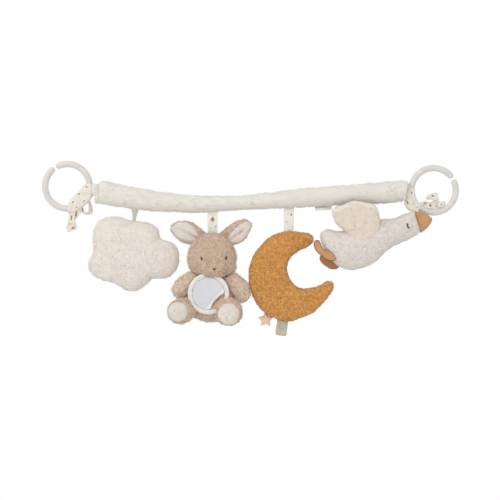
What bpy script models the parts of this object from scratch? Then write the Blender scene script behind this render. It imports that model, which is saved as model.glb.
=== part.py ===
# Car seat toy arch: a soft bar with a split ring tied to each end and four stuffed toys on straps.
# The origin is midway between the two rings, +X to the right, +Z up, and -Y is the front.

import math

import bmesh
import bpy
from mathutils import Matrix, Vector

COLLECTION = "car_seat_toy_arch"

# Clearances
TOUCH = 0.0003  # between pieces that are sewn or laid together
PIVOT_GAP = 0.0007  # between a ribbon's root and what it swings against
WELD = 0.00001  # vertices closer than this are one

# Rings
RING_OUTER = 0.0586  # outer diameter
RING_TUBE = 0.0072  # thickness of the round section
RING_SPLIT = 0.0024  # gap between the two ends
RING_LEFT_RISE = 0.0024  # ring centres above and below the origin
RING_RIGHT_DROP = 0.0022
RING_LEFT_SPLIT_ANGLE = math.radians(123)
RING_RIGHT_SPLIT_ANGLE = math.radians(36)
RING_STEPS = 30

# Ties' reach from the bar's ends to the rings
TIE_RUN_LEFT = 0.0057
TIE_RUN_RIGHT = 0.0037

# Bar
BAR_LENGTH = 0.3545
BAR_MIDDLE_X = (TIE_RUN_LEFT - TIE_RUN_RIGHT) / 2
BAR_RADIUS = 0.0127  # at its thickest
BAR_SAG = 0.0181  # lowest point of its centre line under the ring line
BAR_COVER_WALL = 0.0026
BAR_END_WALL = 0.0020
# Place along the bar, share of the sag, share of the radius
BAR_STATION_SHARES = (
    (0.00, 0.29, 0.90),
    (0.05, 0.41, 1.00),
    (0.15, 0.73, 0.945),
    (0.27, 0.96, 0.81),
    (0.36, 1.00, 0.725),
    (0.47, 0.91, 0.64),
    (0.55, 0.81, 0.72),
    (0.66, 0.62, 0.84),
    (0.79, 0.45, 0.865),
    (0.95, 0.24, 0.97),
    (1.00, 0.17, 0.90),
)
BAR_STEPS = 24
BAR_LABEL_X = 0.0840
BAR_LABEL_WIDTH = 0.0196
BAR_LABEL_DROP = 0.0046
LABEL_THICKNESS = 0.0012

# Ribbons
RIBBON_THICKNESS = 0.0012
STRAP_WIDTH = 0.0116

# Straps: where each toy hangs along X, and its strap's length
CLOUD_X = -0.1350
CLOUD_STRAP_LENGTH = 0.0128
CLOUD_STRAP_TWIST = math.radians(70)
BUNNY_X = -0.0438
BUNNY_STRAP_LENGTH = 0.0228
MOON_X = 0.0442
MOON_STRAP_LENGTH = 0.0251
GOOSE_X = 0.1290
GOOSE_STRAP_LENGTH = 0.0310

# How far each toy's highest point is above the level of its strap's end
BUNNY_SEAT = 0.0005
MOON_SEAT = 0.0017

# Ties
TIE_BAND_WIDTH = 0.0150  # across the ribbon, over the ring
TIE_WALL = 0.0010
TIE_OVER_RING = 0.0014  # how far the band reaches past the ring's outer edge
TIE_STEPS = 10
TIE_LEFT_ANGLES = (math.radians(8), math.radians(-82))
TIE_RIGHT_ANGLES = (math.radians(176), math.radians(230))
BOW_REACH = 0.0095

# Cloud
CLOUD_WIDTH = 0.1073
CLOUD_HEIGHT = 0.0876
CLOUD_DEPTH = 0.0300
CLOUD_OUTLINE_POINTS = 48
# Outline, clockwise from the strap, as shares of the width and height from the middle
CLOUD_OUTLINE_SHARES = (
    (0.00, 0.43), (0.10, 0.425), (0.20, 0.40), (0.265, 0.335), (0.285, 0.265),
    (0.285, 0.212), (0.36, 0.185), (0.43, 0.15), (0.485, 0.075), (0.50, -0.05),
    (0.475, -0.20), (0.41, -0.30), (0.30, -0.345), (0.212, -0.328), (0.14, -0.42),
    (0.03, -0.50), (-0.08, -0.49), (-0.17, -0.42), (-0.235, -0.384), (-0.36, -0.355),
    (-0.455, -0.28), (-0.50, -0.155), (-0.485, -0.065), (-0.441, 0.018), (-0.455, 0.20),
    (-0.43, 0.36), (-0.375, 0.44), (-0.29, 0.485), (-0.19, 0.50), (-0.10, 0.475),
)

# Bunny
BUNNY_HEAD_WIDTH = 0.0585
BUNNY_HEAD_HEIGHT = 0.0530
BUNNY_HEAD_DEPTH = 0.0440
BUNNY_HEAD_FORWARD = 0.0070
BUNNY_BODY_WIDTH = 0.0560
BUNNY_BODY_HEIGHT = 0.0620
BUNNY_BODY_DEPTH = 0.0380
BUNNY_BODY_DROP = 0.0498  # body centre under the head centre
EAR_LENGTH = 0.0300
EAR_WIDTH = 0.0296
EAR_DEPTH_SHARE = 0.26
LINING_PROUD = 0.0011
ARM_LENGTH = 0.0150
ARM_WIDTH = 0.0219
LEG_RADIUS = 0.0163
LEG_LENGTH = 0.0200
PAD_RADIUS = 0.0124
PAD_PROUD = 0.0010
MIRROR_RADIUS = 0.0238
MIRROR_RIM_WIDTH = 0.0052
MIRROR_THICKNESS = 0.0034
MIRROR_GLASS_THICKNESS = 0.0016
MIRROR_FRONT = 0.0195  # how far its face is in front of the middle plane
MIRROR_DROP = 0.0437  # its centre under the head centre
MIRROR_SIDE = 0.0044
EYE_HEIGHT = 0.0056
EYE_WIDTH = 0.0024
EYE_SPACING = 0.0284
EYE_DROP = 0.0018
NOSE_WIDTH = 0.0050
NOSE_DROP = 0.0152

# Moon
MOON_HEIGHT = 0.1057
MOON_DEPTH = 0.0290
# Centre line from the upper tip to the lower one, and half the width there, as shares of the height
MOON_STATION_SHARES = (
    (0.245, 0.402, 0.036),
    (0.138, 0.392, 0.094),
    (-0.040, 0.350, 0.142),
    (-0.165, 0.236, 0.180),
    (-0.232, 0.096, 0.205),
    (-0.226, -0.068, 0.222),
    (-0.139, -0.228, 0.226),
    (0.018, -0.312, 0.205),
    (0.212, -0.276, 0.155),
    (0.372, -0.166, 0.084),
    (0.445, -0.104, 0.040),
)
STAR_RADIUS = 0.0096
STAR_DEPTH = 0.0062
STAR_WAIST_SHARE = 0.55
MOON_LABEL_WIDTH = 0.0128
MOON_LABEL_LENGTH = 0.0180
MOON_LABEL_THICKNESS = 0.0022

# Goose
GOOSE_LENGTH = 0.1150
GOOSE_DEPTH = 0.0400
# Centre line from the tail to the face, and half the width there, as shares of the length
GOOSE_STATION_SHARES = (
    (-0.490, 0.015, 0.040),
    (-0.434, -0.015, 0.105),
    (-0.329, -0.100, 0.180),
    (-0.189, -0.110, 0.203),
    (-0.048, -0.070, 0.196),
    (0.082, 0.005, 0.155),
    (0.203, 0.070, 0.128),
    (0.313, 0.117, 0.125),
    (0.403, 0.161, 0.120),
    (0.443, 0.170, 0.090),
    (0.470, 0.175, 0.045),
)
BEAK_LENGTH = 0.0210
BEAK_HEIGHT = 0.0228
BEAK_DEPTH = 0.0120
WING_WIDTH = 0.0560
WING_HEIGHT = 0.0500
WING_DEPTH = 0.0070
WING_OUTLINE_SHARES = (
    (-0.50, 0.30), (-0.42, 0.42), (-0.26, 0.42), (-0.16, 0.50), (0.02, 0.50),
    (0.20, 0.49), (0.30, 0.40), (0.38, 0.34), (0.46, 0.16), (0.50, -0.10),
    (0.47, -0.36), (0.30, -0.48), (0.10, -0.50), (-0.12, -0.44), (-0.24, -0.32),
    (-0.30, -0.16), (-0.38, -0.06), (-0.44, 0.10),
)
FOOT_LENGTH = 0.0300
FOOT_WIDTH = 0.0115
FOOT_THICKNESS = 0.0022

# Counts of stations along limbs, ribbons and outlines
STRAP_STEPS = 6
EAR_STEPS = 8
ARM_STEPS = 6
LEG_STEPS = 6
MOON_STEPS = 18
GOOSE_STEPS = 18
BEAK_STEPS = 5
BOW_STEPS = 14
WING_POINTS = 28
FOOT_POINTS = 20
STAR_POINTS = 20
RIM_STEPS = 28
RIM_SIDES = 8

# More of the ties
TIE_ROOT_WIDTH = 0.0130
ROOT_GAP = 0.0011  # between the bar's end and the ribbon that swings against it
TAIL_PLACE_SHARES = (0.0, 0.25, 0.5, 0.75, 1.0)
# Name, angle round the ring, drop, length, width, forward, lean
TAILS_LEFT = (
    ("tie_left_tail_long", math.radians(-81), 0.0004, 0.0205, 0.0090, 0.0, 0.06),
    ("tie_left_tail_short", math.radians(-70), 0.0002, 0.0070, 0.0060, 0.0022, 0.15),
)
# Angle in degrees, share of the bow's reach past the band
BOW_PATH_SHARES = ((-37.7, -0.04), (-41.6, 0.62), (-46.2, 0.99), (-52.8, 1.0), (-58.0, 0.68), (-60.8, 0.02))
BOW_WIDTH = 0.0080
SASH_WIDTH = 0.0065
SASH_ANGLES = (math.radians(233), math.radians(308))
# Name, angle round the ring, share of the inner radius, length, width, lean
TAILS_RIGHT = (
    ("tie_right_tail_upper", math.radians(252), 0.72, 0.0110, 0.0100, 0.35),
    ("tie_right_tail_lower", math.radians(297), 0.86, 0.0055, 0.0060, 0.70),
)

# More of the bunny
HEAD_TAPER = 0.10
BODY_TAPER = 0.12
BUNNY_BODY_SIDE = 0.0015
FACE_SIDE = 0.0021
EAR_ROOT_SHARE = 0.55
EAR_LIFT_SHARE = 0.83
EAR_BACK = 0.0050
EAR_SWING = math.radians(12)
EAR_CLEARANCE = 0.0009
ROOM_STEP_SHARE = 0.12  # each of the ear's rooms is a little wider than the one before
# Along the ear, lift, share of its half width
EAR_STATION_SHARES = (
    (0.00, 0.00, 0.62), (0.27, 0.12, 0.98), (0.55, 0.22, 0.95), (0.76, 0.29, 0.78), (0.92, 0.34, 0.48),
)
LINING_SHARE = 0.78
ARM_OUT = 0.0225
ARM_LIFT = 0.0225
ARM_BACK = -0.0040
ARM_DEPTH_SHARE = 0.85
ARM_SWINGS = tuple(math.radians(turn) for turn in (-16, -8, 0, 8, 16))
# Outwards, down, share of half the arm's width
ARM_STATION_SHARES = ((0.0, 0.0, 0.90), (0.36, 0.32, 1.0), (0.69, 0.66, 1.0))
# Out, down, share of the foot's radius
LEG_PLACES = {"left": (0.0352, 0.0142, 0.90), "right": (0.0203, 0.0145, 1.0)}
LEG_STATION_SHARES = ((0.0, 0.80), (0.5, 0.90), (1.0, 1.0))
HIP_SHARE = 0.55
NOSE_OUTLINE_SHARES = (
    (-0.50, 0.42), (-0.38, 0.55), (0.0, 0.20), (0.38, 0.55), (0.50, 0.42),
    (0.12, 0.02), (0.10, -0.60), (-0.10, -0.60), (-0.12, 0.02),
)

# More of the moon
STAR_CORNERS = 10
LABEL_BEVEL_SHARE = 0.33
MOON_SIDE = 0.0024
# Name, across, up, and back from the middle plane as shares of the moon's height and depth
STAR_PLACE_SHARES = (
    ("moon_star_left", -0.275, -0.483, 0.18),
    ("moon_star_right", 0.200, -0.352, 0.46),
)
MOON_LABEL_PLACE_SHARE = (-0.100, -0.570)
MOON_LABEL_LEAN = math.radians(7)

# More of the goose
GOOSE_FORWARD = 0.0085
GOOSE_SIDE = 0.0110
GOOSE_DROP = 0.0070
GOOSE_EYE_SHARE = (0.358, 0.125)
GOOSE_EYE_DEPTH = 0.0121
BEAK_STATION_SHARES = ((-0.17, 0.0, 1.10), (0.14, -0.02, 1.0), (0.36, 0.0, 0.66))
WING_SIDE = -0.0182
# Lean towards the bar, and how far its middle is from the goose's
WING_PLACES = {"front": (math.radians(18), 0.0107), "back": (math.radians(-6), 0.0215)}
WING_LIFT = 0.0205
FOOT_APARTS = {"front": 0.0090, "back": 0.0050}
FOOT_LEAN = math.radians(42)
FOOT_PLACES = {"front": (0.0540, 0.0138), "back": (0.0500, 0.0262)}
FOOT_OUTLINE_SHARES = (
    (-0.50, 0.10), (-0.40, 0.42), (-0.15, 0.40), (0.15, 0.48), (0.42, 0.42),
    (0.50, 0.0), (0.35, -0.45), (0.05, -0.40), (-0.20, -0.30), (-0.42, -0.30),
)

# Colours, roughness and metallic value of each finish
FINISHES = {
    "fleece": ((0.77, 0.71, 0.64), 0.95, 0.0),
    "foam": ((0.80, 0.80, 0.78), 0.90, 0.0),
    "plastic": ((0.80, 0.77, 0.72), 0.35, 0.0),
    "ribbon": ((0.84, 0.80, 0.74), 0.75, 0.0),
    "label": ((0.80, 0.76, 0.70), 0.80, 0.0),
    "bunny": ((0.56, 0.42, 0.32), 0.92, 0.0),
    "lining": ((0.76, 0.70, 0.62), 0.92, 0.0),
    "stitch": ((0.05, 0.03, 0.02), 0.60, 0.0),
    "mirror": ((0.80, 0.83, 0.86), 0.05, 1.0),
    "moon": ((0.56, 0.28, 0.08), 0.95, 0.0),
    "star": ((0.78, 0.50, 0.33), 0.90, 0.0),
    "sage": ((0.46, 0.45, 0.34), 0.80, 0.0),
    "goose": ((0.74, 0.70, 0.64), 0.92, 0.0),
    "wing": ((0.75, 0.66, 0.54), 0.95, 0.0),
    "suede": ((0.55, 0.30, 0.13), 0.85, 0.0),
    "suede_dark": ((0.40, 0.20, 0.08), 0.85, 0.0),
}

SMOOTH_ANGLE = math.radians(40)
ACROSS = Vector((1, 0, 0))
FRONT = Vector((0, -1, 0))
UP = Vector((0, 0, 1))
# How an end rounds off: place towards the end, share of the radius
ROUND_END_SHARES = ((0.0, 1.0), (0.5, 0.87), (0.85, 0.53), (1.0, 0.12))


def clear_scene():
    for obj in list(bpy.data.objects):
        bpy.data.objects.remove(obj, do_unlink=True)


def make_collection(name):
    collection = bpy.data.collections.new(name)
    bpy.context.scene.collection.children.link(collection)
    return collection


def make_finish(node, finish):
    """A material of the node's own, with its colour, roughness and metallic value."""
    colour, roughness, metallic = FINISHES[finish]
    material = bpy.data.materials.new(node + "_" + finish)
    material.use_nodes = True
    shader = material.node_tree.nodes["Principled BSDF"]
    shader.inputs["Base Color"].default_value = (*colour, 1.0)
    shader.inputs["Roughness"].default_value = roughness
    shader.inputs["Metallic"].default_value = metallic
    return material


def add_node(name, mesh, finish, collection):
    """One sub-part: a named object with its own finish, shaded smooth."""
    obj = bpy.data.objects.new(name, mesh)
    mesh.name = name
    mesh.materials.clear()
    mesh.materials.append(make_finish(name, finish))
    mesh.shade_smooth()
    mesh.set_sharp_from_angle(angle=SMOOTH_ANGLE)
    collection.objects.link(obj)
    return obj


def add_cutter(name, mesh, collection):
    obj = bpy.data.objects.new(name, mesh)
    obj.hide_render = True
    obj.display_type = "WIRE"
    collection.objects.link(obj)
    return obj


def cut(obj, cutter):
    modifier = obj.modifiers.new("cut_" + cutter.name, "BOOLEAN")
    modifier.operation = "DIFFERENCE"
    modifier.solver = "EXACT"
    modifier.object = cutter


def smooth_row(rows, count, closed=False):
    """Values on a smooth curve through the rows, evenly spread over them (Catmull-Rom)."""
    rows = [tuple(row) for row in rows]
    spans = len(rows) if closed else len(rows) - 1
    result = []
    for step in range(count):
        place = step * spans / (count if closed else count - 1)
        span = min(int(place), spans - 1)
        t = place - span
        near = []
        for offset in (-1, 0, 1, 2):
            index = span + offset
            index = index % len(rows) if closed else max(0, min(len(rows) - 1, index))
            near.append(rows[index])
        weights = (
            (-t + 2 * t**2 - t**3) / 2,
            (2 - 5 * t**2 + 3 * t**3) / 2,
            (t + 4 * t**2 - 3 * t**3) / 2,
            (-(t**2) + t**3) / 2,
        )
        columns = zip(*near)
        result.append(tuple(sum(w * v for w, v in zip(weights, c)) for c in columns))
    return result


def tube_mesh(points, radii, sides=2, caps=True, flat_share=1.0, at_y=0.0, wall=0.0):
    """A tube along points with its own radius at each, flattened from front to back by flat_share."""
    curve = bpy.data.curves.new("tube", "CURVE")
    curve.dimensions = "3D"
    curve.bevel_depth = 1.0
    curve.bevel_resolution = sides
    curve.use_fill_caps = caps
    spline = curve.splines.new("POLY")
    spline.points.add(len(points) - 1)
    for spot, point, radius in zip(spline.points, points, radii):
        spot.co = (*point, 1.0)
        spot.radius = radius
    guide = bpy.data.objects.new("tube", curve)
    bpy.context.scene.collection.objects.link(guide)
    if wall:
        solidify = guide.modifiers.new("wall", "SOLIDIFY")
        solidify.thickness = wall
        solidify.offset = -1.0
    graph = bpy.context.evaluated_depsgraph_get()
    mesh = bpy.data.meshes.new_from_object(guide.evaluated_get(graph))
    bpy.data.objects.remove(guide, do_unlink=True)
    work = bmesh.new()
    work.from_mesh(mesh)
    bmesh.ops.remove_doubles(work, verts=work.verts, dist=WELD)
    for vert in work.verts:
        vert.co.y = vert.co.y * flat_share + at_y
    bmesh.ops.recalc_face_normals(work, faces=work.faces)
    work.to_mesh(mesh)
    work.free()
    return mesh


def rounded(points, radii):
    """Adds the stations that round off both ends of a limb, within the length of its end radii."""
    start, end = Vector(points[0]), Vector(points[-1])
    lead_in = (start - Vector(points[1])).normalized() * radii[0]
    lead_out = (end - Vector(points[-2])).normalized() * radii[-1]
    head = [(start + lead_in * place, radii[0] * share) for place, share in ROUND_END_SHARES[1:]]
    tail = [(end + lead_out * place, radii[-1] * share) for place, share in ROUND_END_SHARES[1:]]
    body = [(Vector(point), radius) for point, radius in zip(points, radii)]
    row = head[::-1] + body + tail
    return [point for point, radius in row], [radius for point, radius in row]


def limb_mesh(rows, count, flat_share, at_y=0.0, grow=0.0, sides=3):
    """A stuffed limb through rows of (x, y, z, radius), with round ends, grown all round for a cutter."""
    rows = smooth_row(rows, count)
    points, radii = rounded([row[:3] for row in rows], [row[3] for row in rows])
    mesh = tube_mesh(points, radii, sides, flat_share=flat_share, at_y=at_y)
    if grow:
        swell(mesh, grow)
    return mesh


def swell(mesh, amount):
    """Moves every vertex out along its normal."""
    work = bmesh.new()
    work.from_mesh(mesh)
    work.normal_update()
    for vert, normal in [(v, v.normal.copy()) for v in work.verts]:
        vert.co += normal * amount
    work.to_mesh(mesh)
    work.free()


def egg_mesh(centre, width, depth, height, taper=0.0, segments=20, rings=12, grow=0.0):
    """An ellipsoid that is wider below its middle where taper is above zero."""
    work = bmesh.new()
    bmesh.ops.create_uvsphere(work, u_segments=segments, v_segments=rings, radius=1.0)
    for vert in work.verts:
        x, y, z = vert.co
        wide = 1 - taper * z
        vert.co = centre + Vector((x * wide * width, y * wide * depth, z * height)) / 2
    mesh = bpy.data.meshes.new("egg")
    work.to_mesh(mesh)
    work.free()
    if grow:
        swell(mesh, grow)
    return mesh


# Rings of a pillow from its seam to its middle: share of the outline, share of the depth
PILLOW_RING_SHARES = ((0.97, 0.30), (0.88, 0.60), (0.72, 0.83), (0.48, 0.96), (0.20, 1.0))


def pillow_mesh(outline, centre, depth, round_share=0.5):
    """Two panels sewn along an outline of (x, z) and stuffed, so that the middle stands proud."""
    work = bmesh.new()
    reach = sum(math.hypot(x, z) for x, z in outline) / len(outline)
    seam = [work.verts.new(centre + Vector((x, 0, z))) for x, z in outline]
    for side in (-1, 1):
        outer = seam
        for size_share, depth_share in PILLOW_RING_SHARES:
            ring = []
            for x, z in outline:
                plain = reach / math.hypot(x, z)
                pull = 1 + (plain - 1) * (1 - size_share) * round_share
                spot = Vector((x * pull, 0, z * pull)) * size_share
                spot.y = side * depth / 2 * depth_share
                ring.append(work.verts.new(centre + spot))
            for index in range(len(outline)):
                after = (index + 1) % len(outline)
                work.faces.new((outer[index], outer[after], ring[after], ring[index]))
            outer = ring
        work.faces.new(outer)
    bmesh.ops.recalc_face_normals(work, faces=work.faces)
    mesh = bpy.data.meshes.new("pillow")
    work.to_mesh(mesh)
    work.free()
    return mesh


def box_mesh(centre, size, turn=None, bevel=0.0):
    """A flat tag or label with rounded edges."""
    work = bmesh.new()
    bmesh.ops.create_cube(work, size=1.0)
    for vert in work.verts:
        vert.co = Vector(a * b for a, b in zip(vert.co, size))
    if bevel:
        bmesh.ops.bevel(work, geom=work.edges[:], offset=bevel, segments=1, affect="EDGES")
    place = Matrix.Translation(centre)
    if turn:
        place = place @ turn
    work.transform(place)
    mesh = bpy.data.meshes.new("tag")
    work.to_mesh(mesh)
    work.free()
    return mesh


def ribbon_mesh(points, widths, thickness):
    """A flat ribbon through points, with a vector across its width at each."""
    work = bmesh.new()
    rows = []
    for index, (point, across) in enumerate(zip(points, widths)):
        before = points[max(0, index - 1)]
        after = points[min(len(points) - 1, index + 1)]
        normal = (after - before).cross(across).normalized() * thickness / 2
        edge = across / 2
        corners = (edge + normal, edge - normal, -edge - normal, -edge + normal)
        rows.append([work.verts.new(point + corner) for corner in corners])
    for first, second in zip(rows, rows[1:]):
        for index in range(len(first)):
            after = (index + 1) % len(first)
            work.faces.new((first[index], first[after], second[after], second[index]))
    work.faces.new(rows[0])
    work.faces.new(rows[-1])
    bmesh.ops.recalc_face_normals(work, faces=work.faces)
    mesh = bpy.data.meshes.new("ribbon")
    work.to_mesh(mesh)
    work.free()
    return mesh


def bar_rows():
    """Stations along the bar: X, centre height and radius."""
    rows = smooth_row(BAR_STATION_SHARES, BAR_STEPS + 1)
    return [
        (BAR_MIDDLE_X + BAR_LENGTH * (place - 1 / 2), -BAR_SAG * sag, BAR_RADIUS * radius)
        for place, sag, radius in rows
    ]


def along_bar(x):
    """The bar's centre height and radius at a place along X."""
    rows = bar_rows()
    for first, second in zip(rows, rows[1:]):
        if x <= second[0]:
            break
    t = (x - first[0]) / (second[0] - first[0])
    return [first[k] + (second[k] - first[k]) * t for k in (1, 2)]


def bar_underside(x):
    height, radius = along_bar(x)
    return height - radius


def bar_stretch(low, high, less):
    """The stations between two places along X, with the radius less a wall."""
    inner = [row for row in bar_rows() if low < row[0] < high]
    ends = [(x, *along_bar(x)) for x in (low, high)]
    rows = [ends[0], *inner, ends[1]]
    return [(x, 0, z) for x, z, radius in rows], [radius - less for x, z, radius in rows]


def make_bar(parts):
    left = BAR_MIDDLE_X - BAR_LENGTH / 2
    right = BAR_MIDDLE_X + BAR_LENGTH / 2
    points, radii = bar_stretch(left, right, 0)
    cover = tube_mesh(points, radii, sides=4, caps=False, wall=BAR_COVER_WALL)
    add_node("bar_cover", cover, "fleece", parts)
    lining = BAR_COVER_WALL + TOUCH
    for side, low in (("left", left), ("right", right - BAR_END_WALL)):
        points, radii = bar_stretch(low, low + BAR_END_WALL, lining)
        add_node("bar_end_" + side, tube_mesh(points, radii, sides=4), "fleece", parts)
    inset = BAR_END_WALL + TOUCH
    points, radii = bar_stretch(left + inset, right - inset, lining)
    add_node("bar_core", tube_mesh(points, radii, sides=4), "foam", parts)
    size = (BAR_LABEL_WIDTH, LABEL_THICKNESS, BAR_LABEL_DROP)
    first = BAR_LABEL_X - BAR_LABEL_WIDTH / 2
    last = BAR_LABEL_X + BAR_LABEL_WIDTH / 2
    slope = math.atan2(bar_underside(first) - bar_underside(last), BAR_LABEL_WIDTH)
    drop = TOUCH + BAR_LABEL_DROP / 2
    centre = Vector((BAR_LABEL_X, 0, bar_underside(BAR_LABEL_X) - drop))
    turn = Matrix.Rotation(slope, 4, "Y")
    add_node("bar_label", box_mesh(centre, size, turn), "label", parts)


def ring_spot(centre, angle, reach):
    return centre + Vector((math.cos(angle), 0, math.sin(angle))) * reach


def make_ring(name, centre, split_angle, parts):
    """A split ring: a round rod bent to a circle, with two rounded ends that nearly meet."""
    reach = (RING_OUTER - RING_TUBE) / 2
    half_gap = (RING_SPLIT + RING_TUBE) / 2 / reach
    sweep = math.tau - 2 * half_gap
    angles = [split_angle + half_gap + sweep * step / RING_STEPS for step in range(RING_STEPS + 1)]
    points = [ring_spot(centre, angle, reach) for angle in angles]
    points, radii = rounded(points, [RING_TUBE / 2] * len(points))
    add_node(name, tube_mesh(points, radii), "plastic", parts)


def band_section(arc_steps=5):
    """The tie band's outline round the ring's rod: a flat loop with round sides, as (outward, y)."""
    half_depth = RING_TUBE / 2 + PIVOT_GAP + TIE_WALL
    outer = RING_OUTER / 2 + TIE_OVER_RING - half_depth
    inner = RING_OUTER / 2 + TIE_OVER_RING - TIE_BAND_WIDTH + half_depth
    spots = []
    for middle, start in ((outer, -math.pi / 2), (inner, math.pi / 2)):
        for step in range(arc_steps + 1):
            angle = start + math.pi * step / arc_steps
            spots.append((middle + half_depth * math.cos(angle), half_depth * math.sin(angle)))
    return spots


def make_band(name, centre, angles, parts):
    """The ribbon's band that the ring runs through, open at both ends."""
    work = bmesh.new()
    rows = []
    for step in range(TIE_STEPS + 1):
        angle = angles[0] + (angles[1] - angles[0]) * step / TIE_STEPS
        row = []
        for reach, y in band_section():
            spot = ring_spot(centre, angle, reach)
            spot.y = y
            row.append(work.verts.new(spot))
        rows.append(row)
    for first, second in zip(rows, rows[1:]):
        for index in range(len(first)):
            after = (index + 1) % len(first)
            work.faces.new((first[index], first[after], second[after], second[index]))
    bmesh.ops.recalc_face_normals(work, faces=work.faces)
    mesh = bpy.data.meshes.new(name)
    work.to_mesh(mesh)
    work.free()
    band = add_node(name, mesh, "ribbon", parts)
    wall = band.modifiers.new("wall", "SOLIDIFY")
    wall.thickness = TIE_WALL
    wall.offset = -1.0
    return band


def make_tie_root(name, centre, end_x, side, parts, cutters):
    """The doubled ribbon that comes out of the bar's end and meets the band."""
    height, radius = along_bar(end_x)
    start = Vector((end_x + side * ROOT_GAP, 0, height))
    finish = Vector((centre.x - side * RING_OUTER / 2, 0, height))
    across = UP * TIE_ROOT_WIDTH
    mesh = ribbon_mesh([start, finish], [across, across], 2 * RIBBON_THICKNESS)
    root = add_node(name, mesh, "ribbon", parts)
    disc = bmesh.new()
    reach = RING_OUTER / 2 + TIE_OVER_RING + TOUCH
    bmesh.ops.create_cone(
        disc, cap_ends=True, segments=96, radius1=reach, radius2=reach, depth=TIE_BAND_WIDTH,
        matrix=Matrix.Translation(centre) @ Matrix.Rotation(math.pi / 2, 4, "X"),
    )
    room = bpy.data.meshes.new(name + "_room")
    disc.to_mesh(room)
    disc.free()
    cut(root, add_cutter(name + "_room", room, cutters))


def make_left_tie(centre, parts, cutters):
    make_tie_root("tie_left_root", centre, BAR_MIDDLE_X - BAR_LENGTH / 2, -1, parts, cutters)
    make_band("tie_left_band", centre, TIE_LEFT_ANGLES, parts)
    edge = RING_OUTER / 2 + TIE_OVER_RING + TOUCH
    for name, angle, drop, length, width, forward, lean in TAILS_LEFT:
        start = ring_spot(centre, angle, edge) - UP * drop + FRONT * forward
        points = [start + Vector((lean * t * t, -lean * t, -t)) * length for t in TAIL_PLACE_SHARES]
        mesh = ribbon_mesh(points, [ACROSS * width] * len(points), RIBBON_THICKNESS)
        add_node(name, mesh, "ribbon", parts)
    rows = smooth_row(BOW_PATH_SHARES, BOW_STEPS)
    points = [
        ring_spot(centre, math.radians(angle), edge + RIBBON_THICKNESS / 2 + BOW_REACH * reach)
        for angle, reach in rows
    ]
    mesh = ribbon_mesh(points, [FRONT * BOW_WIDTH] * len(points), RIBBON_THICKNESS)
    add_node("tie_left_bow", mesh, "ribbon", parts)


def make_right_tie(centre, parts, cutters):
    make_tie_root("tie_right_root", centre, BAR_MIDDLE_X + BAR_LENGTH / 2, 1, parts, cutters)
    make_band("tie_right_band", centre, TIE_RIGHT_ANGLES, parts)
    inner = RING_OUTER / 2 - RING_TUBE - PIVOT_GAP
    reach = inner - SASH_WIDTH / 2
    low, high = SASH_ANGLES
    angles = [low + (high - low) * step / TIE_STEPS for step in range(TIE_STEPS + 1)]
    points = [ring_spot(centre, angle, reach) for angle in angles]
    widths = [(point - centre).normalized() * SASH_WIDTH for point in points]
    add_node("tie_right_sash", ribbon_mesh(points, widths, RIBBON_THICKNESS), "ribbon", parts)
    for name, angle, reach_share, length, width, lean in TAILS_RIGHT:
        start = ring_spot(centre, angle, inner * reach_share) + FRONT * (RIBBON_THICKNESS + PIVOT_GAP)
        points = [start + Vector((lean * t, -lean * t * t, t)) * length for t in TAIL_PLACE_SHARES]
        mesh = ribbon_mesh(points, [ACROSS * width] * len(points), RIBBON_THICKNESS)
        add_node(name, mesh, "ribbon", parts)


def make_strap(name, x, length, parts, twist=0.0, forward=0.0):
    """A strap from the bar's lower seam down to its toy, and the place of its lower end."""
    edges = (x - STRAP_WIDTH / 2, x, x + STRAP_WIDTH / 2)
    top = Vector((x, 0, min(bar_underside(edge) for edge in edges) - PIVOT_GAP))
    points = []
    widths = []
    for step in range(STRAP_STEPS + 1):
        share = step / STRAP_STEPS
        points.append(top + FRONT * forward * share - UP * length * share)
        widths.append(Matrix.Rotation(twist * share, 3, "Z") @ ACROSS * STRAP_WIDTH)
    add_node(name, ribbon_mesh(points, widths, RIBBON_THICKNESS), "ribbon", parts)
    return points[-1] - UP * PIVOT_GAP


def scaled(shares, width, height):
    return [(x * width, z * height) for x, z in shares]


def make_cloud(parts):
    end = make_strap("strap_cloud", CLOUD_X, CLOUD_STRAP_LENGTH, parts, CLOUD_STRAP_TWIST)
    shares = smooth_row(CLOUD_OUTLINE_SHARES, CLOUD_OUTLINE_POINTS, closed=True)
    top_share = CLOUD_OUTLINE_SHARES[0][1]
    centre = end - UP * CLOUD_HEIGHT * top_share
    outline = scaled(shares, CLOUD_WIDTH, CLOUD_HEIGHT)
    add_node("cloud", pillow_mesh(outline, centre, CLOUD_DEPTH), "fleece", parts)


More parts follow.
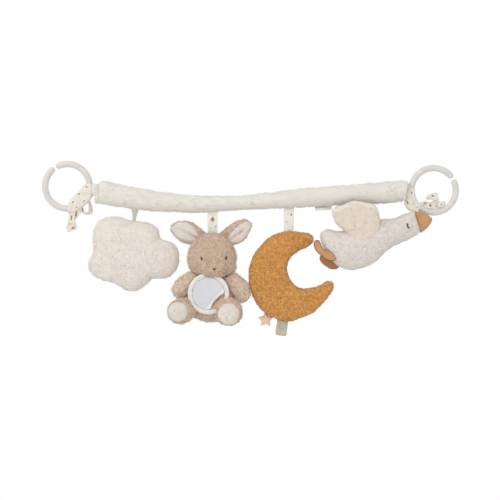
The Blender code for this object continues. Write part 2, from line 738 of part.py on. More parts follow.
def make_bunny(parts, cutters):
    end = make_strap("strap_bunny", BUNNY_X, BUNNY_STRAP_LENGTH, parts)
    head = end + UP * (BUNNY_SEAT - BUNNY_HEAD_HEIGHT / 2) + FRONT * BUNNY_HEAD_FORWARD / 2
    head_size = (BUNNY_HEAD_WIDTH, BUNNY_HEAD_DEPTH, BUNNY_HEAD_HEIGHT)
    head_node = add_node("bunny_head", egg_mesh(head, *head_size, HEAD_TAPER), "bunny", parts)
    head_room = egg_mesh(head, *head_size, HEAD_TAPER, grow=TOUCH)
    head_room = add_cutter("bunny_head_room", head_room, cutters)
    body = Vector((end.x - BUNNY_BODY_SIDE, 0, head.z - BUNNY_BODY_DROP))
    body_size = (BUNNY_BODY_WIDTH, BUNNY_BODY_DEPTH, BUNNY_BODY_HEIGHT)
    body_node = add_node("bunny_body", egg_mesh(body, *body_size, BODY_TAPER), "bunny", parts)
    body_room = egg_mesh(body, *body_size, BODY_TAPER, grow=TOUCH)
    body_room = add_cutter("bunny_body_room", body_room, cutters)
    cut(body_node, head_room)
    mirror = Vector((head.x - MIRROR_SIDE, -MIRROR_FRONT, head.z - MIRROR_DROP))
    mirror_room = make_mirror(mirror, head_room, parts, cutters)
    cut(body_node, mirror_room)
    for side, name in ((-1, "left"), (1, "right")):
        make_ear(name, side, head, head_node, parts, cutters)
        make_arm(name, side, body, (body_room, head_room), parts, cutters)
        make_leg(name, side, body, body_room, mirror_room, parts, cutters)
        make_eye(name, side, head, head_room, parts)
    make_nose(head, head_room, parts)


def disc_mesh(centre, radius, thickness, segments=40):
    work = bmesh.new()
    bmesh.ops.create_cone(
        work, cap_ends=True, segments=segments, radius1=radius, radius2=radius, depth=thickness,
        matrix=Matrix.Translation(centre) @ Matrix.Rotation(math.pi / 2, 4, "X"),
    )
    mesh = bpy.data.meshes.new("disc")
    work.to_mesh(mesh)
    work.free()
    return mesh


def make_mirror(centre, head_room, parts, cutters):
    """The round mirror on the belly: a glass disc held by a padded fabric rim."""
    reach = MIRROR_RADIUS - MIRROR_RIM_WIDTH / 2
    back = centre - FRONT * MIRROR_THICKNESS / 2
    work = bmesh.new()
    rim = bpy.data.meshes.new("bunny_mirror_rim")
    for step in range(RIM_STEPS):
        around = math.tau * step / RIM_STEPS
        for turn in range(RIM_SIDES):
            angle = math.tau * turn / RIM_SIDES
            spot = ring_spot(back, around, reach + MIRROR_RIM_WIDTH / 2 * math.cos(angle))
            spot.y += MIRROR_THICKNESS / 2 * math.sin(angle)
            work.verts.new(spot)
    work.verts.ensure_lookup_table()
    for step in range(RIM_STEPS):
        after = (step + 1) % RIM_STEPS
        for turn in range(RIM_SIDES):
            next_turn = (turn + 1) % RIM_SIDES
            corners = (
                step * RIM_SIDES + turn, step * RIM_SIDES + next_turn,
                after * RIM_SIDES + next_turn, after * RIM_SIDES + turn,
            )
            work.faces.new([work.verts[corner] for corner in corners])
    bmesh.ops.recalc_face_normals(work, faces=work.faces)
    work.to_mesh(rim)
    work.free()
    rim_node = add_node("bunny_mirror_rim", rim, "lining", parts)
    cut(rim_node, head_room)
    glass_radius = MIRROR_RADIUS - MIRROR_RIM_WIDTH - TOUCH
    seat = centre - FRONT * (MIRROR_THICKNESS - MIRROR_GLASS_THICKNESS / 2)
    glass = disc_mesh(seat, glass_radius, MIRROR_GLASS_THICKNESS)
    add_node("bunny_mirror_glass", glass, "mirror", parts)
    room = disc_mesh(centre, MIRROR_RADIUS + TOUCH, 2 * (MIRROR_THICKNESS + TOUCH))
    return add_cutter("bunny_mirror_room", room, cutters)


def ear_rows(side, head):
    """Centre line of an ear from its root to its tip, and half its width there."""
    return [
        (head.x + side * BUNNY_HEAD_WIDTH / 2 * EAR_ROOT_SHARE + side * EAR_LENGTH * along,
         EAR_BACK, head.z + BUNNY_HEAD_HEIGHT / 2 * EAR_LIFT_SHARE + EAR_LENGTH * lift,
         EAR_WIDTH / 2 * wide)
        for along, lift, wide in EAR_STATION_SHARES
    ]


def make_ear(name, side, head, head_node, parts, cutters):
    """An ear with its lining; the head is hollowed where the ear's root swings."""
    rows = ear_rows(side, head)
    flat = [(x, 0, z, radius) for x, y, z, radius in rows]
    ear = limb_mesh(flat, EAR_STEPS, EAR_DEPTH_SHARE, at_y=EAR_BACK)
    add_node("bunny_ear_" + name, ear, "bunny", parts)
    hinge = Vector((rows[0][0], 0, rows[0][2]))
    for index, turn in enumerate((-EAR_SWING, 0, EAR_SWING)):
        grow = EAR_CLEARANCE * (1 + ROOM_STEP_SHARE * index)
        room = limb_mesh(flat, EAR_STEPS, EAR_DEPTH_SHARE, at_y=EAR_BACK, grow=grow)
        pivot = Matrix.Translation(hinge)
        room.transform(pivot @ Matrix.Rotation(turn, 4, "Y") @ pivot.inverted())
        cut(head_node, add_cutter("ear_room_%s_%d" % (name, index), room, cutters))
    ear_room = limb_mesh(flat, EAR_STEPS, EAR_DEPTH_SHARE, at_y=EAR_BACK, grow=TOUCH)
    lining = [(x, 0, z, radius * LINING_SHARE) for x, y, z, radius in rows[2:]]
    forward = EAR_BACK - LINING_PROUD - EAR_WIDTH / 2 * EAR_DEPTH_SHARE * (1 - LINING_SHARE)
    patch = limb_mesh(lining, EAR_STEPS, EAR_DEPTH_SHARE, at_y=forward)
    patch_node = add_node("bunny_ear_lining_" + name, patch, "lining", parts)
    cut(patch_node, add_cutter("ear_lining_room_" + name, ear_room, cutters))


def make_arm(name, side, body, rooms, parts, cutters):
    """A stubby arm, hollowed where it swings past the body's side and the head."""
    shoulder = body + Vector((side * ARM_OUT, ARM_BACK, ARM_LIFT))
    rows = [
        (shoulder.x + side * out * ARM_LENGTH, 0, shoulder.z - drop * ARM_LENGTH, ARM_WIDTH / 2 * wide)
        for out, drop, wide in ARM_STATION_SHARES
    ]
    mesh = limb_mesh(rows, ARM_STEPS, ARM_DEPTH_SHARE, at_y=shoulder.y)
    arm = add_node("bunny_arm_" + name, mesh, "bunny", parts)
    pivot = Matrix.Translation(shoulder)
    for index, turn in enumerate(ARM_SWINGS):
        for room in rooms:
            swung = room.data.copy()
            swung.transform(pivot @ Matrix.Rotation(turn, 4, "X") @ pivot.inverted())
            cut(arm, add_cutter("arm_room_%s_%d_%s" % (name, index, room.name), swung, cutters))


def make_leg(name, side, body, body_room, mirror_room, parts, cutters):
    """A leg that comes forward to a round foot, with a pad on its sole."""
    out, drop, size_share = LEG_PLACES[name]
    toe = body + Vector((side * out, -LEG_LENGTH, -drop))
    hip = body + Vector((side * out * HIP_SHARE, 0, -drop * HIP_SHARE))
    radius = LEG_RADIUS * size_share
    rows = []
    for along, wide in LEG_STATION_SHARES:
        spot = hip.lerp(toe, along)
        rows.append((*spot, radius * wide))
    leg = add_node("bunny_leg_" + name, limb_mesh(rows, LEG_STEPS, 1.0), "bunny", parts)
    cut(leg, body_room)
    cut(leg, mirror_room)
    leg_room = limb_mesh(rows, LEG_STEPS, 1.0, grow=TOUCH)
    end_radius = radius * LEG_STATION_SHARES[-1][1]
    pad_radius = PAD_RADIUS * size_share
    cap = math.sqrt(end_radius**2 - pad_radius**2)
    bulge = end_radius + PAD_PROUD - cap
    size = (2 * pad_radius, 2 * bulge, 2 * pad_radius)
    pad = egg_mesh(toe + FRONT * cap, *size, segments=16, rings=10)
    pad_node = add_node("bunny_pad_" + name, pad, "lining", parts)
    cut(pad_node, add_cutter("pad_room_" + name, leg_room, cutters))


def head_surface(head, x, z):
    """How far the face stands in front of the head's middle at an offset from it."""
    wide = 1 - HEAD_TAPER * z / (BUNNY_HEAD_HEIGHT / 2)
    rest = 1 - (x / (BUNNY_HEAD_WIDTH / 2 * wide)) ** 2 - (z / (BUNNY_HEAD_HEIGHT / 2)) ** 2
    return BUNNY_HEAD_DEPTH / 2 * wide * math.sqrt(rest)


def make_eye(name, side, head, head_room, parts):
    x = FACE_SIDE + side * EYE_SPACING / 2
    spot = head + Vector((x, -head_surface(head, x, -EYE_DROP), -EYE_DROP))
    eye = egg_mesh(spot, EYE_WIDTH, EYE_WIDTH, EYE_HEIGHT, segments=10, rings=8)
    cut(add_node("bunny_eye_" + name, eye, "stitch", parts), head_room)


def make_nose(head, head_room, parts):
    spot = head + Vector((FACE_SIDE, -head_surface(head, FACE_SIDE, -NOSE_DROP), -NOSE_DROP))
    outline = scaled(NOSE_OUTLINE_SHARES, NOSE_WIDTH, NOSE_WIDTH)
    nose = pillow_mesh(outline, spot, EYE_WIDTH, round_share=0)
    cut(add_node("bunny_nose", nose, "stitch", parts), head_room)


def make_moon(parts, cutters):
    end = make_strap("strap_moon", MOON_X, MOON_STRAP_LENGTH, parts)
    centre = end + ACROSS * MOON_SIDE + UP * (MOON_SEAT - MOON_HEIGHT / 2)
    rows = [
        (centre.x + x * MOON_HEIGHT, 0, centre.z + z * MOON_HEIGHT, half * MOON_HEIGHT)
        for x, z, half in MOON_STATION_SHARES
    ]
    widest = max(row[3] for row in rows)
    flat_share = MOON_DEPTH / 2 / widest
    add_node("moon", limb_mesh(rows, MOON_STEPS, flat_share), "moon", parts)
    room = limb_mesh(rows, MOON_STEPS, flat_share, grow=TOUCH)
    room = add_cutter("moon_room", room, cutters)
    outline = smooth_row(star_outline(), STAR_POINTS, closed=True)
    for name, x, z, back in STAR_PLACE_SHARES:
        spot = centre + Vector((x * MOON_HEIGHT, back * MOON_DEPTH, z * MOON_HEIGHT))
        star = add_node(name, pillow_mesh(outline, spot, STAR_DEPTH, round_share=0), "star", parts)
        cut(star, room)
    x, z = MOON_LABEL_PLACE_SHARE
    spot = centre + Vector((x * MOON_HEIGHT, 0, z * MOON_HEIGHT))
    size = (MOON_LABEL_WIDTH, MOON_LABEL_THICKNESS, MOON_LABEL_LENGTH)
    turn = Matrix.Rotation(MOON_LABEL_LEAN, 4, "Y")
    tag = box_mesh(spot, size, turn, bevel=MOON_LABEL_THICKNESS * LABEL_BEVEL_SHARE)
    cut(add_node("moon_label", tag, "sage", parts), room)


def star_outline():
    """Five points and the waists between them."""
    spots = []
    for step in range(STAR_CORNERS):
        reach = STAR_RADIUS * (STAR_WAIST_SHARE if step % 2 else 1.0)
        angle = math.pi / 2 + math.tau * step / STAR_CORNERS
        spots.append((reach * math.cos(angle), reach * math.sin(angle)))
    return spots


def make_goose(parts, cutters):
    end = make_strap("strap_goose", GOOSE_X, GOOSE_STRAP_LENGTH, parts, forward=GOOSE_FORWARD)
    centre = end + ACROSS * GOOSE_SIDE - UP * GOOSE_DROP
    rows = [
        (centre.x + x * GOOSE_LENGTH, 0, centre.z + z * GOOSE_LENGTH, half * GOOSE_LENGTH)
        for x, z, half in GOOSE_STATION_SHARES
    ]
    widest = max(row[3] for row in rows)
    flat_share = GOOSE_DEPTH / 2 / widest
    body = limb_mesh(rows, GOOSE_STEPS, flat_share, at_y=centre.y)
    add_node("goose_body", body, "goose", parts)
    room = limb_mesh(rows, GOOSE_STEPS, flat_share, at_y=centre.y, grow=TOUCH)
    room = add_cutter("goose_room", room, cutters)
    cut(bpy.data.objects["strap_goose"], room)
    face = Vector((rows[-1][0], centre.y, rows[-1][2]))
    make_beak(face, room, parts)
    for side, name in ((-1, "front"), (1, "back")):
        make_wing(name, side, centre, room, parts)
        make_goose_foot(name, side, centre, room, parts)
        x, z = GOOSE_EYE_SHARE
        spot = centre + Vector((x * GOOSE_LENGTH, 0, z * GOOSE_LENGTH))
        spot.y += side * GOOSE_EYE_DEPTH
        eye = egg_mesh(spot, EYE_WIDTH, EYE_WIDTH, EYE_HEIGHT, segments=10, rings=8)
        cut(add_node("goose_eye_" + name, eye, "stitch", parts), room)


def make_beak(face, room, parts):
    """The suede beak, from the face's seam to its blunt tip."""
    rows = [
        (face.x + BEAK_LENGTH * along, 0, face.z - BEAK_HEIGHT * drop, BEAK_HEIGHT / 2 * wide)
        for along, drop, wide in BEAK_STATION_SHARES
    ]
    mesh = limb_mesh(rows, BEAK_STEPS, BEAK_DEPTH / BEAK_HEIGHT, at_y=face.y)
    cut(add_node("goose_beak", mesh, "suede", parts), room)


def make_wing(name, side, centre, room, parts):
    lean, apart = WING_PLACES[name]
    outline = smooth_row(scaled(WING_OUTLINE_SHARES, WING_WIDTH, WING_HEIGHT), WING_POINTS, closed=True)
    spot = centre + Vector((WING_SIDE, side * apart, WING_LIFT))
    mesh = pillow_mesh(outline, Vector((0, 0, 0)), WING_DEPTH)
    mesh.transform(Matrix.Translation(spot) @ Matrix.Rotation(side * lean, 4, "X"))
    cut(add_node("goose_wing_" + name, mesh, "wing", parts), room)


def make_goose_foot(name, side, centre, room, parts):
    """A folded suede foot, sewn under the tail."""
    out, drop = FOOT_PLACES[name]
    finish = "suede" if side < 0 else "suede_dark"
    outline = smooth_row(scaled(FOOT_OUTLINE_SHARES, FOOT_LENGTH, FOOT_WIDTH), FOOT_POINTS, closed=True)
    mesh = pillow_mesh(outline, Vector((0, 0, 0)), FOOT_THICKNESS, round_share=0)
    spot = centre + Vector((-out, side * FOOT_APARTS[name], -drop))
    mesh.transform(Matrix.Translation(spot) @ Matrix.Rotation(FOOT_LEAN, 4, "Y"))
    cut(add_node("goose_foot_" + name, mesh, finish, parts), room)


def main():
    clear_scene()
    parts = make_collection(COLLECTION)
    cutters = make_collection("cutters")
    apart = TIE_RUN_LEFT + BAR_LENGTH + TIE_RUN_RIGHT + RING_OUTER
    left = Vector((-apart / 2, 0, RING_LEFT_RISE))
    right = Vector((apart / 2, 0, -RING_RIGHT_DROP))
    make_bar(parts)
    make_ring("ring_left", left, RING_LEFT_SPLIT_ANGLE, parts)
    make_ring("ring_right", right, RING_RIGHT_SPLIT_ANGLE, parts)
    make_left_tie(left, parts, cutters)
    make_right_tie(right, parts, cutters)
    make_cloud(parts)
    make_bunny(parts, cutters)
    make_moon(parts, cutters)
    make_goose(parts, cutters)


main()
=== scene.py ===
# Car seat toy arch: the finished look of each piece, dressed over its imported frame.
import math

import bmesh
import bpy
import numpy as np
from mathutils import Matrix, Vector, noise
from mathutils.bvhtree import BVHTree
from mathutils.geometry import delaunay_2d_cdt
from mathutils.kdtree import KDTree


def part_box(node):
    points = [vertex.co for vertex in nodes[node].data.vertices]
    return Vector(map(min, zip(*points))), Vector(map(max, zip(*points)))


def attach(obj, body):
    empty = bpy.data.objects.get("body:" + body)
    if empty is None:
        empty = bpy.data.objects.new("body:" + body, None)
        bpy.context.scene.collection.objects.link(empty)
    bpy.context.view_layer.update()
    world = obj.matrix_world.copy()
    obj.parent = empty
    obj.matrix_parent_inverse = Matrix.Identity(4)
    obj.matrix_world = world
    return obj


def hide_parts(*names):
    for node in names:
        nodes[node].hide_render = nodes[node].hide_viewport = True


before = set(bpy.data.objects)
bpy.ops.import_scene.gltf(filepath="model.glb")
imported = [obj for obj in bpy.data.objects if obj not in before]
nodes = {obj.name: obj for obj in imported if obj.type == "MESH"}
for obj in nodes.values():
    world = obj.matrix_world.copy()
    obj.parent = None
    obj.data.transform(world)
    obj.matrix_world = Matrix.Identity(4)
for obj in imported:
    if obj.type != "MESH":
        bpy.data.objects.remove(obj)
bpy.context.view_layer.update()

scene = bpy.context.scene
MM = 0.001
UP = Vector((0, 0, 1))


# Camera, light and stage

VIEW_WIDTH = 577 * MM
VIEW_CENTRE = (-0.6 * MM, 0.0, -71.1 * MM)
LENS = 150.0
SENSOR = 36.0

camera_data = bpy.data.cameras.new("camera")
camera_data.lens = LENS
camera_data.sensor_width = SENSOR
camera_data.clip_end = 20
camera = bpy.data.objects.new("camera", camera_data)
scene.collection.objects.link(camera)
camera.location = (VIEW_CENTRE[0], -VIEW_WIDTH * LENS / SENSOR, VIEW_CENTRE[2])
camera.rotation_euler = (math.radians(90), 0, 0)
scene.camera = camera
scene.view_settings.view_transform = "Standard"
scene.view_settings.look = "None"


def area_light(name, place, target, size, power, colour=(1, 1, 1)):
    data = bpy.data.lights.new(name, "AREA")
    data.shape = "DISK"
    data.size = size
    data.energy = power
    data.color = colour
    light = bpy.data.objects.new(name, data)
    scene.collection.objects.link(light)
    light.location = place
    light.rotation_euler = (Vector(target) - Vector(place)).to_track_quat("-Z", "Y").to_euler()
    return light


area_light("key", (-1.0, -1.25, 0.85), (0, 0, -0.07), 2.0, 12.2, (1.0, 0.985, 0.96))
bounce = area_light("bounce", (0.2, -1.1, -0.95), (0, 0, -0.07), 1.6, 1.8, (1.0, 0.985, 0.97))
bounce.visible_glossy = False
area_light("fill", (1.1, -1.2, 0.1), (0, 0, -0.07), 1.2, 2.0, (0.96, 0.98, 1.0))

world = bpy.data.worlds.new("world")
scene.world = world
world.use_nodes = True
world_nodes = world.node_tree.nodes
world_links = world.node_tree.links
world_nodes.clear()
world_out = world_nodes.new("ShaderNodeOutputWorld")
world_mix = world_nodes.new("ShaderNodeMixShader")
world_soft = world_nodes.new("ShaderNodeBackground")
world_white = world_nodes.new("ShaderNodeBackground")
world_path = world_nodes.new("ShaderNodeLightPath")
world_soft.inputs["Color"].default_value = (0.97, 0.98, 1.0, 1)
world_soft.inputs["Strength"].default_value = 0.82
world_white.inputs["Color"].default_value = (1, 1, 1, 1)
world_white.inputs["Strength"].default_value = 1.0
world_links.new(world_path.outputs["Is Camera Ray"], world_mix.inputs["Fac"])
world_links.new(world_soft.outputs["Background"], world_mix.inputs[1])
world_links.new(world_white.outputs["Background"], world_mix.inputs[2])
world_links.new(world_mix.outputs["Shader"], world_out.inputs["Surface"])


# Materials

def linear(colour):
    """A colour of 0 to 255 as the shader's own linear values."""
    values = []
    for value in colour:
        value /= 255
        values.append(value / 12.92 if value <= 0.04045 else ((value + 0.055) / 1.055) ** 2.4)
    return (*values, 1.0)


def new_material(name, roughness=0.9, metallic=0.0, sheen=0.0, specular=0.5):
    material = bpy.data.materials.new(name)
    material.use_nodes = True
    shader = material.node_tree.nodes["Principled BSDF"]
    shader.inputs["Roughness"].default_value = roughness
    shader.inputs["Metallic"].default_value = metallic
    shader.inputs["Sheen Weight"].default_value = sheen
    shader.inputs["Sheen Roughness"].default_value = 0.6
    shader.inputs["Specular IOR Level"].default_value = specular
    return material, shader


def texture(material, kind, scale, detail=2.0):
    """A texture node that reads the piece's own coordinates."""
    tree = material.node_tree
    node = tree.nodes.new("ShaderNodeTex" + kind)
    node.inputs["Scale"].default_value = scale
    if "Detail" in node.inputs:
        node.inputs["Detail"].default_value = detail
    tree.links.new(tree.nodes.new("ShaderNodeTexCoord").outputs["Object"], node.inputs["Vector"])
    return node


def ramp(material, source, stops):
    """A colour ramp from a texture's values: (place, colour) pairs."""
    tree = material.node_tree
    node = tree.nodes.new("ShaderNodeValToRGB")
    elements = node.color_ramp.elements
    while len(elements) < len(stops):
        elements.new(0.5)
    for element, (place, colour) in zip(elements, stops):
        element.position = place
        element.color = colour
    tree.links.new(source.outputs["Fac"], node.inputs["Fac"])
    return node.outputs["Color"]


def multiplied(material, first, second):
    """Two colours multiplied."""
    tree = material.node_tree
    node = tree.nodes.new("ShaderNodeMix")
    node.data_type = "RGBA"
    node.blend_type = "MULTIPLY"
    node.inputs["Factor"].default_value = 1.0
    tree.links.new(first, node.inputs["A"])
    tree.links.new(second, node.inputs["B"])
    return node.outputs["Result"]


def paint(material, shader, colour):
    material.node_tree.links.new(colour, shader.inputs["Base Color"])


def bump(material, shader, height, strength, distance):
    tree = material.node_tree
    node = tree.nodes.new("ShaderNodeBump")
    node.inputs["Strength"].default_value = strength
    node.inputs["Distance"].default_value = distance
    tree.links.new(height, node.inputs["Height"])
    tree.links.new(node.outputs["Normal"], shader.inputs["Normal"])


def plush(name, low, middle, high, fine=900.0, broad=70.0, patch=0.06):
    """Pile fabric: fine flecks between three colours over broad soft patches."""
    material, shader = new_material(name, 0.95, sheen=0.25, specular=0.1)
    fleck = texture(material, "Noise", fine, 3.0)
    colour = ramp(material, fleck, ((0.30, linear(low)), (0.50, linear(middle)), (0.70, linear(high))))
    dark = 1 - patch
    cloudy = texture(material, "Noise", broad)
    shade = ramp(material, cloudy, ((0.35, (dark, dark, dark, 1)), (0.65, (1, 1, 1, 1))))
    paint(material, shader, multiplied(material, colour, shade))
    bump(material, shader, fleck.outputs["Fac"], 0.25, 0.3 * MM)
    return material


def woven(name, colour, dark, pitch=0.3 * MM):
    """Narrow woven tape: crossing threads, faint mottling and a soft sheen."""
    material, shader = new_material(name, 0.72, sheen=0.12, specular=0.3)
    turn = math.tau / (20 * pitch)
    warp = texture(material, "Wave", turn)
    warp.bands_direction = "X"
    weft = texture(material, "Wave", turn)
    weft.bands_direction = "Z"
    weave = multiplied(material, warp.outputs["Color"], weft.outputs["Color"])
    cloudy = texture(material, "Noise", 160.0, 3.0)
    paint(material, shader, ramp(material, cloudy, ((0.35, linear(dark)), (0.65, linear(colour)))))
    bump(material, shader, weave, 0.35, 0.12 * MM)
    return material


def suede(name, low, high):
    """Brushed imitation suede: a short nap with soft light and dark strokes."""
    material, shader = new_material(name, 0.88, sheen=0.3, specular=0.2)
    nap = texture(material, "Noise", 1800.0, 3.0)
    strokes = texture(material, "Noise", 140.0, 3.0)
    fine = ramp(material, nap, ((0.3, linear(low)), (0.7, linear(high))))
    shade = ramp(material, strokes, ((0.35, (0.86, 0.84, 0.82, 1)), (0.65, (1, 1, 1, 1))))
    paint(material, shader, multiplied(material, fine, shade))
    bump(material, shader, nap.outputs["Fac"], 0.2, 0.12 * MM)
    return material


fleece = plush("fleece", (224, 217, 207), (229, 223, 214), (234, 229, 221), patch=0.02)
cloud_plush = plush("cloud_plush", (226, 216, 206), (229, 220, 210), (232, 224, 214), patch=0.02)
# The skins under the bunny's pile: the fur's own tan, painted darker as the shade deep in the pile. The tips
# materials on the strands are lighter: partly the fur's own pale tips, partly painted light.
bunny_plush_shaded = plush("bunny_plush_shaded", (192, 160, 134), (208, 180, 156), (222, 198, 176), broad=90.0)
bunny_tips = plush("bunny_tips", (222, 196, 170), (238, 216, 194), (250, 236, 220), broad=90.0)
body_plush_shaded = plush("body_plush_shaded", (200, 168, 142), (216, 188, 165), (230, 206, 184), broad=90.0)
arm_plush_shaded = plush("arm_plush_shaded", (210, 180, 156), (226, 200, 179), (240, 218, 199), broad=90.0, patch=0.05)
arm_tips = plush("arm_tips", (232, 210, 188), (246, 230, 212), (254, 246, 236), broad=90.0, patch=0.05)
velour = plush("velour", (212, 203, 191), (226, 217, 206), (237, 231, 222), fine=1100.0)
rim_velour = plush("rim_velour", (222, 217, 208), (233, 228, 220), (241, 238, 231), fine=1100.0, patch=0.02)
# The moon's skin under its loops: the bouclé's own orange, painted darker as the shade deep in the pile; the
# lighter tips material on the loops is partly painted light.
boucle_shaded = plush("boucle_shaded", (190, 124, 50), (213, 150, 71), (235, 179, 104), fine=620.0, patch=0.05)
boucle_tips = plush("boucle_tips", (206, 142, 62), (232, 170, 90), (250, 206, 136), fine=620.0, patch=0.05)
goose_plush = plush("goose_plush", (214, 204, 195), (223, 215, 207), (231, 224, 217), fine=1000.0, patch=0.03)
# Pale cloth for the wing's top band and its edge pile: the fringe's own whiter colour, painted lighter to
# stand in for light on a top edge that lies in shade.
fringe = plush("fringe", (226, 221, 211), (232, 227, 218), (238, 234, 226), patch=0.02)
wing_plush = plush("wing_plush", (219, 205, 190), (226, 213, 198), (232, 221, 208), fine=800.0, patch=0.02)
peach = plush("peach", (236, 200, 166), (244, 211, 178), (251, 223, 195), fine=1500.0, patch=0.02)
foam = plush("foam", (225, 225, 222), (236, 236, 233), (246, 246, 244), fine=1500.0)
ribbon_white = woven("ribbon_white", (228, 223, 214), (220, 214, 204), 0.45 * MM)
strap_white = woven("strap_white", (233, 230, 222), (226, 223, 215), 0.45 * MM)
label_cream = woven("label_cream", (240, 235, 226), (228, 221, 209), 0.4 * MM)
sage_tape = woven("sage_tape", (191, 187, 166), (176, 172, 150), 0.6 * MM)
print_gold = woven("print_gold", (184, 136, 62), (150, 104, 44), 0.45 * MM)
thread_dark = woven("thread_dark", (62, 40, 34), (42, 26, 22))
thread_grey = woven("thread_grey", (96, 86, 88), (72, 62, 66))
thread_olive = woven("thread_olive", (150, 140, 104), (128, 118, 84))
thread_tan = woven("thread_tan", (214, 172, 124), (190, 146, 100))
edge_brown = woven("edge_brown", (150, 98, 60), (128, 80, 48))
suede_tan = suede("suede_tan", (190, 138, 92), (212, 162, 114))
suede_brown = suede("suede_brown", (166, 114, 74), (190, 138, 94))

ring_gloss, ring_shader = new_material("ring_gloss", 0.28)
ring_noise = texture(ring_gloss, "Noise", 120.0, 3.0)
paint(ring_gloss, ring_shader, ramp(
    ring_gloss, ring_noise, ((0.35, linear((210, 204, 197))), (0.65, linear((217, 211, 204))))
))
ring_shader.inputs["Coat Weight"].default_value = 0.35
ring_shader.inputs["Coat Roughness"].default_value = 0.12
ring_grain = texture(ring_gloss, "Noise", 1500.0)
bump(ring_gloss, ring_shader, ring_grain.outputs["Fac"], 0.08, 0.05 * MM)

mirror_gloss, mirror_shader = new_material("mirror_gloss", 0.035, metallic=1.0)
mirror_tint = texture(mirror_gloss, "Noise", 60.0)
paint(mirror_gloss, mirror_shader, ramp(
    mirror_gloss, mirror_tint, ((0.35, linear((236, 237, 240))), (0.65, linear((239, 240, 243))))
))
bump(mirror_gloss, mirror_shader, mirror_tint.outputs["Fac"], 0.08, 0.6 * MM)


# Shapes

def add_object(name, mesh, material, body, slot, *sources):
    """A piece that rides on a body, and stands for some CAD solids."""
    piece = bpy.data.objects.new(name, mesh)
    scene.collection.objects.link(piece)
    mesh.materials.clear()
    mesh.materials.append(material)
    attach(piece, body)
    if sources:
        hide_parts(*sources)
    return piece


def evaluated(piece):
    """The piece's mesh with its modifiers applied."""
    graph = bpy.context.evaluated_depsgraph_get()
    return bpy.data.meshes.new_from_object(piece.evaluated_get(graph))


def settle_modifiers(piece):
    """Replaces the piece's mesh by the one its modifiers make."""
    piece.data = evaluated(piece)
    piece.modifiers.clear()


def ease_points(piece, times):
    """Smooths a piece, together with the modifiers it already has."""
    smooth = piece.modifiers.new("smooth", "SMOOTH")
    smooth.factor = 0.5
    smooth.iterations = times
    settle_modifiers(piece)


def mesh_of(work, name, outward=True):
    """A mesh made of a finished bmesh, with its faces turned outward."""
    if outward:
        bmesh.ops.recalc_face_normals(work, faces=work.faces)
    mesh = bpy.data.meshes.new(name)
    work.to_mesh(mesh)
    work.free()
    return mesh


def join_rows(work, rows, closed=False):
    """Faces between each ring of points and the next."""
    size = len(rows[0])
    pairs = list(zip(rows, rows[1:]))
    if closed:
        pairs.append((rows[-1], rows[0]))
    for first, second in pairs:
        for k in range(size):
            after = (k + 1) % size
            work.faces.new((first[k], first[after], second[after], second[k]))


def close_ring(work, ring, tip):
    """Triangles from a ring of points to its middle."""
    for k in range(len(ring)):
        work.faces.new((ring[k], ring[(k + 1) % len(ring)], tip))


def surface_of(mesh):
    return BVHTree.FromPolygons([v.co for v in mesh.vertices], [tuple(f.vertices) for f in mesh.polygons])


def front_of(tree, x, z):
    """The place on a surface in front of (x, z)."""
    return tree.ray_cast(Vector((x, -0.2, z)), Vector((0, 1, 0)))[0]


def depth_of(node):
    """The middle of a solid's depth, and half of its depth."""
    low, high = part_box(node)
    return (low[1] + high[1]) / 2, (high[1] - low[1]) / 2


def points_of(mesh):
    spots = np.empty(len(mesh.vertices) * 3)
    mesh.vertices.foreach_get("co", spots)
    return spots.reshape(-1, 3)


def normals_of(mesh):
    normals = np.empty(len(mesh.vertices) * 3)
    mesh.vertices.foreach_get("normal", normals)
    return normals.reshape(-1, 3)


def set_points(mesh, spots):
    mesh.vertices.foreach_set("co", np.asarray(spots, dtype=float).ravel())
    mesh.update()


def noise_at(spots, spacing):
    return np.array([noise.noise(Vector(spot) / spacing) for spot in spots])


def eased(share):
    """0 below 0, 1 above 1, smooth between."""
    share = np.clip(share, 0, 1)
    return share * share * (3 - 2 * share)


def fine_solid(name, shape, voxel, smoothing, subdivisions=1, puff=None, settled=False):
    """An even, closed mesh on a shape, swollen as its filling would where puff says how much."""
    work = bmesh.new()
    work.from_mesh(shape)
    mesh = mesh_of(work, name, outward=False)
    piece = bpy.data.objects.new(name + "_work", mesh)
    scene.collection.objects.link(piece)
    remesh = piece.modifiers.new("remesh", "REMESH")
    remesh.mode = "VOXEL"
    remesh.voxel_size = voxel
    ease_points(piece, smoothing)
    if settled:
        tree = surface_of(mesh)
        set_points(piece.data, [tree.find_nearest(Vector(spot))[0] for spot in points_of(piece.data)])
        ease_points(piece, 4)
    if puff:
        puff_up(piece, **puff)
    if subdivisions:
        surface = piece.modifiers.new("surface", "SUBSURF")
        surface.levels = subdivisions
        surface.render_levels = subdivisions
        settle_modifiers(piece)
    mesh = piece.data
    bpy.data.objects.remove(piece)
    mesh.name = name
    return mesh


CLOTH_STIFFNESS = 20
CLOTH_STEPS = 12


def puff_up(piece, pressure, cap, shrink, ease=0):
    """The filling's pressure on the cloth, with no point going further than the cap."""
    start = points_of(piece.data)
    set_points(piece.data, start - normals_of(piece.data) * shrink)
    cloth = piece.modifiers.new("filling", "CLOTH")
    settings = cloth.settings
    settings.use_pressure = True
    settings.uniform_pressure_force = pressure
    settings.effector_weights.gravity = 0
    settings.quality = 4
    settings.tension_stiffness = CLOTH_STIFFNESS
    settings.compression_stiffness = CLOTH_STIFFNESS
    for step in range(1, CLOTH_STEPS + 1):
        scene.frame_set(step)
    swollen = evaluated(piece)
    piece.modifiers.clear()
    moved = points_of(swollen) - start
    far = np.linalg.norm(moved, axis=1, keepdims=True)
    moved *= np.minimum(1.0, cap / np.maximum(far, 1e-9))
    set_points(piece.data, start + moved)
    scene.frame_set(1)
    if ease:
        ease_points(piece, ease)


